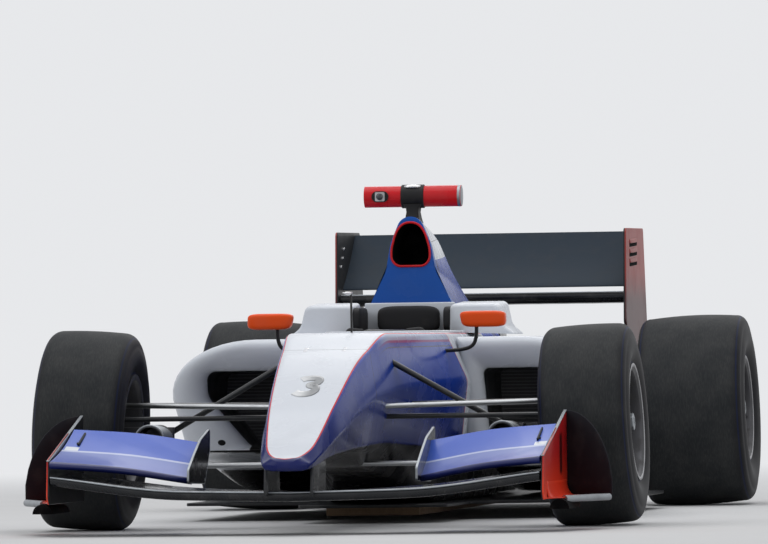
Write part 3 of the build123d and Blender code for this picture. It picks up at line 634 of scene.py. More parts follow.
MAKERS = {
    "body": body_paint,
    "cover": cover_paint,
    "pod": pod_paint,
    "carbon": carbon,
    "gloss_carbon": lambda: carbon("gloss_carbon", (0.008, 0.009, 0.011), 0.16),
    "flap": flap_paint,
    "endplate": endplate_paint,
    "rear_plate": rear_plate_paint,
    "rubber": rubber,
    "white": lambda: plain_paint("white_paint", WHITE),
    "red": lambda: plain_paint("red_paint", RED),
    "dull_red": lambda: plain_paint("dull_red_paint", (0.27, 0.036, 0.030), 0.45),
    "orange_red": lambda: plain_paint("foot_red", (0.72, 0.045, 0.016), 0.3),
    "orange": lambda: plain_paint("orange_shell", (0.86, 0.085, 0.008), 0.3),
    "black": lambda: moulded("black_resin", (0.010, 0.010, 0.011), 0.5),
    # Near-black matte for the insides of openings and recesses: painted shade
    "dark": lambda: moulded("dark_lining", (0.003, 0.003, 0.0035), 0.85, shine=0.05),
    "webbing": lambda: moulded("belt_webbing", (0.16, 0.005, 0.008), 0.7, 1600),
    "leather": lambda: moulded("grip_leather", (0.018, 0.018, 0.02), 0.6, 700),
    "slate": lambda: moulded("slate_laminate", (0.020, 0.030, 0.043), 0.6, 500, 0.1),
    "panel": lambda: moulded("dark_grey_panel", (0.015, 0.015, 0.019), 0.7, 500, 0.08),
    # Bright metal for the front wishbone legs: a painted highlight on carbon arms
    "satin": lambda: metal("satin_arm", (0.34, 0.35, 0.36), 0.3, 0.15),
    # Bright metal for trims and nuts, and for strips that are painted highlights on the wings' leading edges and
    # the rolled foot
    "strip": lambda: metal("edge_strip", (0.30, 0.32, 0.34), 0.4, 0.25),
    "rim": lambda: metal("dark_magnesium", (0.07, 0.07, 0.075), 0.4, 0.5),
    # Lighter metal for the rims' lips: partly their real flange, partly a painted highlight
    "lip": lambda: metal("rim_lip", (0.30, 0.30, 0.31), 0.34, 0.35),
    "alloy": lambda: metal("machined_alloy", (0.42, 0.42, 0.43), 0.32, 0.35),
    "chrome": lambda: metal("bright_steel", (0.62, 0.62, 0.63), 0.2, 0.15),
    "cast": lambda: metal("cast_alloy", (0.30, 0.30, 0.31), 0.5, 0.5),
    "steel": lambda: metal("heat_tinted_steel", (0.36, 0.27, 0.20), 0.35, 0.3),
    "number": number_metal,
    "core": radiator_core,
    "plank": floor_laminate,
    "lens": lambda: glass("lens_glass", (0.010, 0.013, 0.022), 0.08),
    "mirror": lambda: glass("mirror_glass", (0.8, 0.82, 0.84), 0.02, 0.95),
    "lamp": lambda: plain_paint("rain_lamp", (0.35, 0.008, 0.008), 0.15),
}
MATERIALS = {}


def finish(name):
    """A finish by its name, made once."""
    if name not in MATERIALS:
        MATERIALS[name] = MAKERS[name]()
    return MATERIALS[name]


def y_of(station):
    """Y in metres of a station in millimetres."""
    return FRONT_AXLE + np.asarray(station, float) * MM


def spots(x, station, z):
    """Points in metres from arrays of x, station and z in millimetres."""
    x, station, z = np.broadcast_arrays(np.asarray(x, float), station, z)
    return np.stack([x * MM, y_of(station), z * MM], axis=-1)


def eased(knots, values, at):
    """Smooth curve through rows of values, on which no value overshoots its row.

    Cubic Hermite between knots. The slope at a knot is the harmonic mean of the two straight slopes beside
    it, or zero where they turn.
    """
    knots, values, at = np.asarray(knots, float), np.asarray(values, float), np.asarray(at, float)
    lift = (-1, *[1] * (values.ndim - 1))
    slopes = np.diff(values, axis=0) / np.diff(knots).reshape(lift)
    before, after = slopes[:-1], slopes[1:]
    same = before * after > 0
    middle = np.where(same, 2 * before * after / np.where(same, before + after, 1), 0)
    tangents = np.concatenate([slopes[:1], middle, slopes[-1:]])
    index = np.clip(np.searchsorted(knots, at, side="right") - 1, 0, len(knots) - 2)
    width = np.diff(knots)[index]
    t = ((at - knots[index]) / width).reshape(lift)
    width = width.reshape(lift)
    start, end = values[index], values[index + 1]
    curve = (2 * t**3 - 3 * t**2 + 1) * start + (3 * t**2 - 2 * t**3) * end
    curve = curve + (t**3 - 2 * t**2 + t) * width * tangents[index]
    return curve + (t**3 - t**2) * width * tangents[index + 1]


def rounded(points, radii, steps=7):
    """Closed outlines with round corners: (rows, corners, 2) points to (rows, corners * steps, 2).

    Each corner becomes an arc of its radius, tangent to both sides, from the side before to the side after.
    """
    points = np.asarray(points, float)
    radii = np.broadcast_to(np.asarray(radii, float), points.shape[:2])
    before = np.roll(points, 1, axis=1) - points
    after = np.roll(points, -1, axis=1) - points
    before = before / np.linalg.norm(before, axis=2, keepdims=True)
    after = after / np.linalg.norm(after, axis=2, keepdims=True)
    half = np.arccos(np.clip((before * after).sum(2), -0.999999, 0.999999)) / 2
    inward = before + after
    inward = inward / np.maximum(np.linalg.norm(inward, axis=2, keepdims=True), 1e-9)
    centre = points + inward * (radii / np.sin(half))[..., None]
    reach = (radii / np.tan(half))[..., None]
    first, last = points + before * reach - centre, points + after * reach - centre
    start = np.arctan2(first[..., 1], first[..., 0])
    turn = (np.arctan2(last[..., 1], last[..., 0]) - start + pi) % (2 * pi) - pi
    angle = start[..., None] + turn[..., None] * np.linspace(0, 1, steps)
    ring = centre[:, :, None, :] + radii[..., None, None] * np.stack([np.cos(angle), np.sin(angle)], axis=-1)
    return ring.reshape(points.shape[0], -1, 2)


def outline(points, radii, steps=7):
    """One closed outline with round corners."""
    return rounded([points], radii, steps)[0]


def rectangle(half_wide, half_high):
    """Corners of a rectangle round its middle."""
    return np.array([(-1, -1), (1, -1), (1, 1), (-1, 1)]) * (half_wide, half_high)


def full(half):
    """Whole outlines from their left halves, which run from the bottom up."""
    half = np.asarray(half, float)
    return np.concatenate([half, half[..., ::-1, :] * (-1, 1)], axis=-2)


def full_rings(knots, half, radii, stations):
    """Outlines at given stations, eased from rows of left halves and their corner radii."""
    radii = np.asarray(radii, float)
    radii = np.concatenate([radii, radii[:, ::-1]], axis=1)
    return rounded(eased(knots, full(half), stations), eased(knots, radii, stations), RING_STEPS)


def drawn_in(ring, middle, shares):
    """An outline drawn toward a middle to each share of its size."""
    return middle + np.reshape(shares, (-1, 1, 1)) * (ring - middle)


def crosswise(flat, station):
    """Points of (x, z) outlines in millimetres, each at its station."""
    return spots(flat[..., 0], station, flat[..., 1])


def lengthwise(x, flat):
    """Points of (station, z) outlines in millimetres at x."""
    return spots(x, flat[..., 0], flat[..., 1])


def straight(start, end, count=8):
    """Points on a straight run between two (x, station, z) places."""
    start, end = (np.array(place, float) for place in (start, end))
    return spots(*(start + np.linspace(0, 1, count)[:, None] * (end - start)).T)


def smooth(line):
    """A line of points drawn smooth: four times over, each corner is cut at a quarter of both its sides."""
    line = np.array(line, float)
    for _ in range(4):
        cuts = np.stack([0.75 * line[:-1] + 0.25 * line[1:], 0.25 * line[:-1] + 0.75 * line[1:]], axis=1)
        line = np.concatenate([line[:1], cuts.reshape(-1, line.shape[1]), line[-1:]])
    return line


def patch(grid, wrap=False, shut=(False, False), **marks):
    """Faces over a (rows, columns, 3) array in metres, with a number for each mark at each point.

    The outside is where a step along the rows crossed with a step along the columns points. wrap joins the
    last column to the first, and shut closes the first and last rows.
    """
    rows, columns = grid.shape[:2]
    number = np.arange(rows * columns).reshape(rows, columns)
    here, after = (number, np.roll(number, -1, axis=1)) if wrap else (number[:, :-1], number[:, 1:])
    faces = np.stack([here[:-1], here[1:], after[1:], after[:-1]], axis=-1).reshape(-1, 4).tolist()
    if shut[0]:
        faces.append(number[0].tolist())
    if shut[1]:
        faces.append(number[-1][::-1].tolist())
    spread = {key: np.broadcast_to(value, (rows, columns)).ravel() for key, value in marks.items()}
    return grid.reshape(-1, 3), faces, spread


def turned_over(piece):
    """The same patch with its outside inside."""
    points, faces, marks = piece
    return points, [face[::-1] for face in faces], marks


def mirrored(pieces):
    """Patches carried over to the car's other side."""
    return [turned_over((points * (-1, 1, 1), faces, marks)) for points, faces, marks in pieces]


def on_side(pieces, side):
    """Patches made for the left side, on the left (1) or on the right (-1)."""
    return pieces if side > 0 else mirrored(pieces)


def both(pieces):
    """Patches made for the left side, on both sides."""
    return pieces + mirrored(pieces)


def plate(edge, thick):
    """A flat plate: a closed (n, 3) edge in metres and its copy a step away, joined round."""
    edge = np.asarray(edge, float)
    normal = np.cross(edge - edge.mean(0), np.roll(edge, -1, axis=0) - edge.mean(0)).sum(0)
    if np.dot(normal, thick) < 0:
        edge = edge[::-1]
    return patch(np.stack([edge[::-1], edge[::-1] + thick]), wrap=True, shut=(True, True))


def carried(path, section, side, closed=False):
    """A closed section of (across, along side) numbers in metres carried along a path of points.

    At each point the section's plane is square to the path, with its second direction nearest to side. One
    section serves all points, or each has its own.
    """
    path = np.asarray(path, float)
    ahead = np.roll(path, -1, axis=0) - np.roll(path, 1, axis=0) if closed else np.gradient(path, axis=0)
    ahead = ahead / np.linalg.norm(ahead, axis=1, keepdims=True)
    across = np.cross(ahead, np.asarray(side, float))
    across = across / np.linalg.norm(across, axis=1, keepdims=True)
    up = np.cross(across, ahead)
    section = np.broadcast_to(section, (len(path), *np.shape(section)[-2:]))
    grid = path[:, None] + section[..., :1] * across[:, None] + section[..., 1:] * up[:, None]
    if closed:
        grid = np.concatenate([grid, grid[:1]])
    return patch(grid, wrap=True, shut=(not closed, not closed))


def circle(radius, sides=16):
    """Points round a circle."""
    angle = np.linspace(0, 2 * pi, sides, endpoint=False)
    return radius * np.stack([np.cos(angle), np.sin(angle)], axis=-1)


def tube(path, radius, sides=14, side=(0.02, 0.03, 1), closed=False):
    """A round bar along a path."""
    return carried(path, circle(radius, sides), side, closed=closed)


def blade(chord, thick, sides=22):
    """Teardrop section: an ellipse whose rear half is drawn out to an edge."""
    ring = circle(1.0, sides)
    along = np.where(ring[:, 1] > 0, ring[:, 1] * 0.62, ring[:, 1] * 0.38) * chord
    pinch = np.where(ring[:, 1] > 0, 1 - 0.75 * ring[:, 1] ** 2, 1)
    return np.stack([ring[:, 0] * thick / 2 * pinch, along], axis=-1)


def around(axis):
    """Two directions square to an axis and to each other."""
    first = np.cross(axis, (0, 0, 1) if abs(axis[1]) > 0.99 else (0, 1, 0))
    first /= np.linalg.norm(first)
    return first, np.cross(axis, first)


def turned(profile, centre, axis, segments=96, closed=False, **marks):
    """A (distance along the axis, radius) profile in millimetres turned round an axis.

    Its outside is away from the axis where the profile runs the axis's way. closed joins its ends.
    """
    profile = np.asarray(profile, float) * MM
    axis = np.asarray(axis, float) / np.linalg.norm(axis)
    first, second = around(axis)
    angle = np.linspace(0, 2 * pi, segments, endpoint=False)[:, None, None]
    spoke = np.cos(angle) * first + np.sin(angle) * second
    grid = np.asarray(centre) + profile[:, :1] * axis + profile[:, 1:] * spoke
    if closed:
        grid = np.concatenate([grid, grid[:, :1]], axis=1)
        marks = {key: np.append(value, value[:1]) for key, value in marks.items()}
    # The rows go round, so the last angle meets the first again
    grid = np.concatenate([grid, grid[:1]])
    return patch(grid, **marks)


def aerofoil(nose, count=32):
    """Loop of (chord share, thickness share): rear edge, over the top, front edge, underneath.

    Half thickness is 2.97 root(c) - 1.26 c - 3.52 c^2 + 2.84 c^3 - 1.02 c^4, which is 1 at its thickest. With
    a blunt nose it is a quarter ellipse as long as the nose and then falls as 1 - 0.9 t^1.5 to the rear edge.
    """
    c = (1 - np.cos(np.linspace(0, pi, count))) / 2
    half = 2.969 * np.sqrt(c) - 1.26 * c - 3.516 * c**2 + 2.843 * c**3 - 1.015 * c**4
    if nose:
        bow = nose * (1 - np.cos(np.linspace(0, pi / 2, 9)))
        c = np.concatenate([bow[:-1], np.linspace(nose, 1, count - 8)])
        swell = np.sqrt(1 - np.clip(1 - c / nose, 0, 1) ** 2)
        half = swell * (1 - 0.9 * np.clip((c - nose) / (1 - nose), 0, 1) ** 1.5)
    top = np.stack([c[::-1], half[::-1]], axis=-1)
    return np.concatenate([top, np.stack([c[1:], -half[1:]], axis=-1)])


def wing(rows, thick, sag, stretches, nose):
    """A plane from rows of (x, leading edge, trailing edge), cambered down by a parabola of the given sag.

    The marks go from 0 to 1: chord from the leading to the trailing edge, span from the first row to the last.
    """
    knots = [row[0] for row in rows]
    x = np.linspace(knots[0], knots[-1], stretches)
    front = eased(knots, [row[1] for row in rows], x)
    back = eased(knots, [row[2] for row in rows], x)
    along = back - front
    length = np.linalg.norm(along, axis=1, keepdims=True)
    normal = np.stack([-along[:, 1], along[:, 0]], axis=-1) / length
    loop = aerofoil(nose)
    chord, half = loop[:, 0], loop[:, 1]
    lift = half * thick / 2 - 4 * chord * (1 - chord) * sag
    flat = front[:, None] + chord[:, None] * along[:, None] + lift[:, None] * normal[:, None]
    grid = spots(x[:, None], flat[..., 0], flat[..., 1])
    span = np.linspace(0, 1, stretches)[:, None]
    return turned_over(patch(grid, wrap=True, shut=(True, True), chord=chord, span=span))


def edge_line(rows, rise, radius, stretches=26):
    """A round strip along the leading edge of a wing's rows, raised by a few millimetres: a painted highlight of
    the sky on that edge.
    """
    knots = [row[0] for row in rows]
    x = np.linspace(knots[0], knots[-1], stretches)
    lead = eased(knots, [row[1] for row in rows], x)
    return tube(lengthwise(x, lead + (0, rise)), radius * MM, 10)


def trim(x, flat, wide, deep):
    """A flat strip round the edge of a side plate: a closed (station, z) outline at x, in millimetres."""
    section = rectangle(deep / 2, wide / 2) * MM
    return carried(lengthwise(x, flat), section, side=(1, 0, 0), closed=True)


def faced(flat, x, thick):
    """A side plate from x outward, with the mark outer at 1 on its outer face."""
    points, faces, _ = plate(lengthwise(x, flat), (thick * MM, 0, 0))
    return points, faces, {"outer": (points[:, 0] > (x + thick / 2) * MM).astype(float)}


def trim(x, flat, wide, deep):
    """A flat strip round the edge of a side plate: a closed (station, z) outline at x, in millimetres."""
    section = np.array([(-deep, -wide), (deep, -wide), (deep, wide), (-deep, wide)]) / 2 * MM
    return carried(spots(x, flat[:, 0], flat[:, 1]), section, side=(1, 0, 0), closed=True)


def faced(flat, x, thick):
    """A side plate from x outward, with the mark outer at 1 on its outer face."""
    points, faces, _ = plate(spots(x, flat[:, 0], flat[:, 1]), (thick * MM, 0, 0))
    return points, faces, {"outer": (points[:, 0] > (x + thick / 2) * MM).astype(float)}


def block(centre, size, radius, corner=None, tilt=0.0):
    """A box in millimetres whose upright corners are rounded by corner and whose other edges by radius.

    Its outline at each level is the box's, set in by radius * (1 - cos a) where the level is
    radius * (1 - sin a) from the end. tilt turns it about X, in degrees.
    """
    half = np.asarray(size, float) / 2
    angle = np.radians([-90, -60, -30, 0, 0, 30, 60, 90])
    level = np.sign(np.arange(8) - 3.5) * (half[2] - radius) + radius * np.sin(angle)
    inset = radius * (1 - np.cos(angle))
    corners = np.array([(-1, -1), (-1, 1), (1, 1), (1, -1)]) * (half[:2] - inset[:, None])[:, None]
    ring = rounded(corners, np.maximum((corner or radius) - inset, 0.05)[:, None], 5)
    grid = np.concatenate([ring, np.broadcast_to(level[:, None, None], (*ring.shape[:2], 1))], axis=-1)
    grid = grid @ np.array(Matrix.Rotation(radians(tilt), 3, "X")).T + np.asarray(centre, float)
    return patch(spots(grid[..., 0], grid[..., 1], grid[..., 2]), wrap=True, shut=(True, True))


def bubble(centre, size, power, columns, rows):
    """A rounded box or egg in millimetres: direction cosines are raised to a power, 1 for an ellipsoid."""
    lift = np.linspace(-pi / 2, pi / 2, rows)[:, None]
    turn = np.linspace(0, 2 * pi, columns, endpoint=False)[None]

    def raised(value):
        return np.sign(value) * np.abs(value) ** power

    x = raised(np.cos(lift)) * raised(np.cos(turn)) * size[0] / 2
    s = raised(np.cos(lift)) * raised(np.sin(turn)) * size[1] / 2
    z = raised(np.sin(lift)) * np.ones_like(turn) * size[2] / 2
    return turned_over(patch(spots(x + centre[0], s + centre[1], z + centre[2]), wrap=True))


def linked(name, mesh, material, body, slot, instead, sharp=38, edge=0.0, wall=0.0):
    """Puts a mesh in the scene with its finish and body, and hides the nodes that it stands for; slot is not used.

    edge rounds its sharp edges by that many millimetres, and wall gives an open sheet a thickness.
    """
    piece = bpy.data.objects.new(name, mesh)
    bpy.context.scene.collection.objects.link(piece)
    mesh.materials.append(finish(material))
    mesh.polygons.foreach_set("use_smooth", np.ones(len(mesh.polygons), bool))
    mesh.set_sharp_from_angle(angle=radians(sharp))
    if wall:
        skin = piece.modifiers.new("wall", "SOLIDIFY")
        skin.thickness = wall * MM
        skin.offset = 0
    if edge:
        soft = piece.modifiers.new("edge", "BEVEL")
        soft.width = edge * MM
        soft.segments = 2
        soft.limit_method = "ANGLE"
        soft.angle_limit = radians(sharp)
    if instead:
        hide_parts(*instead)
    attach(piece, body or (RIDES[instead[0]] if instead else "chassis"))
    return piece


def show(name, pieces, material, body=None, slot=None, instead=(), **looks):
    """Joins patches into one mesh, welds it and puts it in the scene."""
    starts = np.cumsum([0] + [len(points) for points, _, _ in pieces])
    mesh = bpy.data.meshes.new(name)
    faces = [[int(start) + n for n in face] for start, piece in zip(starts, pieces) for face in piece[1]]
    mesh.from_pydata(np.concatenate([points for points, _, _ in pieces]).tolist(), [], faces)
    for key in sorted({key for _, _, marks in pieces for key in marks}):
        values = np.concatenate([marks.get(key, np.zeros(len(points))) for points, _, marks in pieces])
        mesh.attributes.new(key, "FLOAT", "POINT").data.foreach_set("value", values.astype(np.float32))
    weld(mesh)
    return linked(name, mesh, material, body, slot, instead, **looks)


def pair(stem, pieces, material, body=None, slot=None, instead=None, **looks):
    """Shows the left side's patches on each side as a piece; {} in body and instead is the side's name."""
    for name, side in SIDES:
        nodes = (instead.format(name),) if instead else ()
        rides = body and body.format(name)
        show(f"{stem}_{name}", on_side(pieces, side), material, rides, slot, nodes, **looks)


def weld(mesh, flat=None):
    """Merges a mesh's doubles and, where flat is given, joins faces that meet within that many degrees."""
    work = bmesh.new()
    work.from_mesh(mesh)
    bmesh.ops.remove_doubles(work, verts=work.verts, dist=2e-6)
    if flat:
        bmesh.ops.dissolve_limit(work, angle_limit=radians(flat), verts=work.verts, edges=work.edges)
    work.to_mesh(mesh)
    work.free()


def softened(node, material, edge):
    """A CAD node's own form with its sharp edges rounded, in place of the node."""
    mesh = frame["nodes"][node].data.copy()
    mesh.materials.clear()
    weld(mesh, 0.5)
    return linked(f"{node}_form", mesh, material, None, None, (node,), edge=edge)


def body_rings(stations):
    """Outlines of nose and tub at given stations."""
    knots, half, radii = zip(*((row[0], row[1:5], row[5]) for row in BODY_ROWS))
    return full_rings(knots, half, radii, stations)


def deck_height(stations):
    """Height of the deck in millimetres at given stations."""
    return body_rings(np.asarray(stations, float))[:, CREST, 1]


def opening_half(station):
    """Half width of the cockpit opening: straight sides with a quarter circle at each corner."""
    front, rear, corner = COCKPIT["front"], COCKPIT["rear"], COCKPIT["corner"]
    side = np.interp(station, (front, COCKPIT["wide_from"]), (COCKPIT["front_half"], COCKPIT["half"]))
    depth = np.clip(corner - np.minimum(station - front, rear - station), 0, corner)
    return side - corner + np.sqrt(corner**2 - depth**2)


def opening_stations(between):
    """Stations along the opening, close together in its corners."""
    front, rear, corner = COCKPIT["front"], COCKPIT["rear"], COCKPIT["corner"]
    bend = corner * (1 - np.cos(np.linspace(0, pi / 2, 9)))
    middle = np.linspace(front + corner, rear - corner, between)[1:-1]
    return np.concatenate([front + bend, middle, rear - bend[::-1]])


def body_patches():
    """Skin of nose and tub: the shell from crest to crest round the bottom, and the deck with its opening.

    The marks edge and girth are distances round the outline, in metres: upward from the middle of the top
    corner and from the middle of the lower corner.
    """
    front, rear = COCKPIT["front"], COCKPIT["rear"]
    blunt = BODY_ROWS[1][0]
    stations = np.concatenate([
        np.linspace(blunt, front, 90)[:-1], opening_stations(30), np.linspace(rear, TUB_END, 18)[1:],
    ])
    rings = body_rings(stations)
    # The nose tip is the first outline drawn in to a point along a quarter ellipse
    swell = np.linspace(0, pi / 2, 9)[:-1]
    rings = np.concatenate([drawn_in(rings[0], NOSE_MIDDLE, np.sin(swell)), rings])
    stations = np.concatenate([blunt + (NOSE_TIP - blunt) * np.cos(swell), stations])
    step = np.linalg.norm(np.diff(rings[:, : CREST + 1], axis=1), axis=2) * MM
    length = np.concatenate([np.zeros((len(rings), 1)), np.cumsum(step, axis=1)], axis=1)
    edge = length - length[:, 3 * RING_STEPS + RING_STEPS // 2][:, None]
    girth = length - length[:, RING_STEPS + RING_STEPS // 2][:, None]

    def whole(half):
        return np.concatenate([half[:, ::-1], half], axis=1)

    shell = np.roll(rings, -(CREST + 1), axis=1)
    pieces = [patch(crosswise(shell, stations[:, None]), edge=whole(edge), girth=whole(girth))]
    crest, top = rings[:, CREST, 0], rings[:, CREST, 1]
    opening = opening_half(np.clip(stations, front, rear))
    middle = np.where(stations <= front, np.minimum(90, 0.5 * crest), opening)

    def deck(rows, start, end, columns):
        x = start[rows, None] + (end - start)[rows, None] * np.linspace(0, 1, columns)
        rise = edge[rows, -1:] + (crest[rows, None] - np.abs(x)) * MM
        return patch(spots(x, stations[rows, None], top[rows, None]), edge=rise, girth=0.3)

    every = slice(None)
    ahead = slice(0, int(np.searchsorted(stations, front)) + 1)
    behind = slice(int(np.searchsorted(stations, rear)), None)
    pieces += [deck(every, crest, middle, 7), deck(every, -middle, -crest, 7)]
    pieces += [deck(ahead, middle, -middle, 11), deck(behind, middle, -middle, 11)]
    last = crosswise(rings[-1, ::-1], stations[-1])
    pieces.append((last, [list(range(len(last)))], {}))
    return pieces


class RACECAR_OT_body(bpy.types.Operator):
    """Nose cone and tub with their livery, the cavity under the opening and the nose's two pylons"""

    bl_idname = "racecar.body"
    bl_label = "Body"

    def execute(self, context):
        show("body_skin", body_patches(), "body", instead=("nose_cone", "tub"), sharp=60)
        front, rear = COCKPIT["front"], COCKPIT["rear"]
        # A closed tunnel round the legs, an open trough at the seat and its rear wall
        stations = np.concatenate([[150, 300, 500, 700], opening_stations(6), [CAVITY_ROWS[-1][0]]])
        half = eased([row[0] for row in CAVITY_ROWS], [row[1:] for row in CAVITY_ROWS], stations)
        rings = rounded(full(half), 25, 5)
        rings = np.roll(rings, len(rings[0]) // 2, axis=1)
        grid = crosswise(rings, stations[:, None])
        start, end = int(np.searchsorted(stations, front)), int(np.searchsorted(stations, rear))
        lining = [
            patch(grid[: start + 1], wrap=True, shut=(True, False)),
            patch(grid[start : end + 1]),
            patch(grid[end:], wrap=True, shut=(False, True)),
        ]
        # The tub's inside is black; its near-black matte is painted shade
        show("cavity_lining", [turned_over(piece) for piece in lining], "dark", slot="carbon")
        along = stations[start : end + 1]
        brink = opening_half(along)
        ledge_x, ledge_z = np.abs(rings[start : end + 1, 0, 0]), rings[start : end + 1, 0, 1]
        levels = [(brink, TUB_TOP), (brink, TUB_TOP - 14), (ledge_x, ledge_z)]
        side = [patch(np.stack([spots(x, along, z) for x, z in levels], axis=1))]
        ends = [
            patch(np.stack([spots(np.linspace(-w, w, 9), s, z) for z in (TUB_TOP, 560)]))
            for w, s in ((brink[0], front), (brink[-1], rear))
        ]
        # The coaming is near-black matte: painted shade under the opening's rim
        show("coaming", both(side) + [turned_over(ends[0]), ends[1]], "dark", slot="carbon")
        brim = spots(brink, along, TUB_TOP + 1.5)
        loop = np.concatenate([brim, brim[::-1] * (-1, 1, 1)])
        show("cockpit_rim", [tube(loop, 0.0055, 10, closed=True)], "white", slot="body_paint")
        pylon = outline([(-1045, 118), (-1020, 240), (-800, 300), (-790, 118)], 6)
        legs = [plate(lengthwise(x - 5, pylon), (0.01, 0, 0)) for x in (-70, 70)]
        show("nose_pylons", legs, "gloss_carbon", slot="carbon", edge=2.5)
        return {"FINISHED"}


def pod_ring(outer, flank, top, bottom, foot, inner_x, crest):
    """Outline of a sidepod: flat foot, a side that leans out to the flank, and a quarter ellipse to the top.

    Its corners are rounded on an outline that is squeezed sideways, so each arc becomes part of an ellipse.
    """
    squeeze = np.array([0.62, 1])
    points = np.array([(inner_x, bottom), (foot, bottom), (outer, flank), (outer, top), (inner_x, top)])
    return outline(points * squeeze, (4, 22, 20, crest, 4), 13) / squeeze


def sidepod_patches():
    """Left sidepod: its skin with a rolled lip round the raked inlet and a hollow rear end, and its duct.

    The lip is half an ellipse, from the skin forward to the raked front and back into the duct.
    """
    front = pod_ring(*POD_FRONT_ROW)
    rows = [pod_ring(*row[1:]) for row in POD_ROWS]
    inlet = outline(INLET, INLET_RADII, 13)
    lip_depth = 64

    def rake(z):
        return POD_FRONT + POD_RAKE * (POD_TOP - z)

    roll = np.linspace(pi, 0, 15)[:, None]
    lip = (front + inlet) / 2 + np.cos(roll)[..., None] * (front - inlet) / 2
    lip_station = rake(lip[..., 1]) + lip_depth * (1 - np.sin(roll))
    share = np.linspace(0, 1, 12)[1:, None]
    side = front + (share * share * (3 - 2 * share))[..., None] * (rows[0] - front)
    side_station = (rake(front[:, 1]) + lip_depth) * (1 - share) + POD_ROWS[0][0] * share
    far = np.linspace(POD_ROWS[0][0], POD_ROWS[-1][0], 34)[1:]
    tail = eased([row[0] for row in POD_ROWS], rows, far)
    tail_station = np.broadcast_to(far[:, None], tail.shape[:2])
    middle = tail[-1].mean(0)
    outlet = drawn_in(tail[-1], middle, [0.97, 0.93, 0.90, 0.85])
    outlet_station = np.broadcast_to(np.array([[2761], [2760], [2750], [2600]]), outlet.shape[:2])
    flat = np.concatenate([lip, side, tail, outlet])
    station = np.concatenate([lip_station, side_station, tail_station, outlet_station])
    inner = drawn_in(inlet, inlet.mean(0), [0.95, 0.98, 1])
    share = np.array([[0], [0.5], [1]])
    inner_station = (rake(inlet[:, 1]) + lip_depth) * share + INLET_END * (1 - share)
    skin = patch(crosswise(flat, station), wrap=True, shut=(False, True))
    return [skin], [patch(crosswise(inner, inner_station), wrap=True)]


class RACECAR_OT_sidepods(bpy.types.Operator):
    """Sidepods with rolled inlet lips, and the radiators in their ducts"""

    bl_idname = "racecar.sidepods"
    bl_label = "Sidepods"

    def execute(self, context):
        body, duct = sidepod_patches()
        pair("sidepod_skin", body, "pod", instead="sidepod_{}", sharp=50)
        pair("inlet_duct", duct, "carbon", slot="carbon")
        softened("radiators", "core", 1.0)
        return {"FINISHED"}


def cover_rings(stations):
    """Outlines of the engine cover, whose half widths are joined by large arcs."""
    half = [
        [(width, low + (high - low) * level) for level, width in zip(COVER_LEVELS, row)]
        for _, low, high, row in COVER_ROWS
    ]
    return full_rings([row[0] for row in COVER_ROWS], half, COVER_RADII, stations)


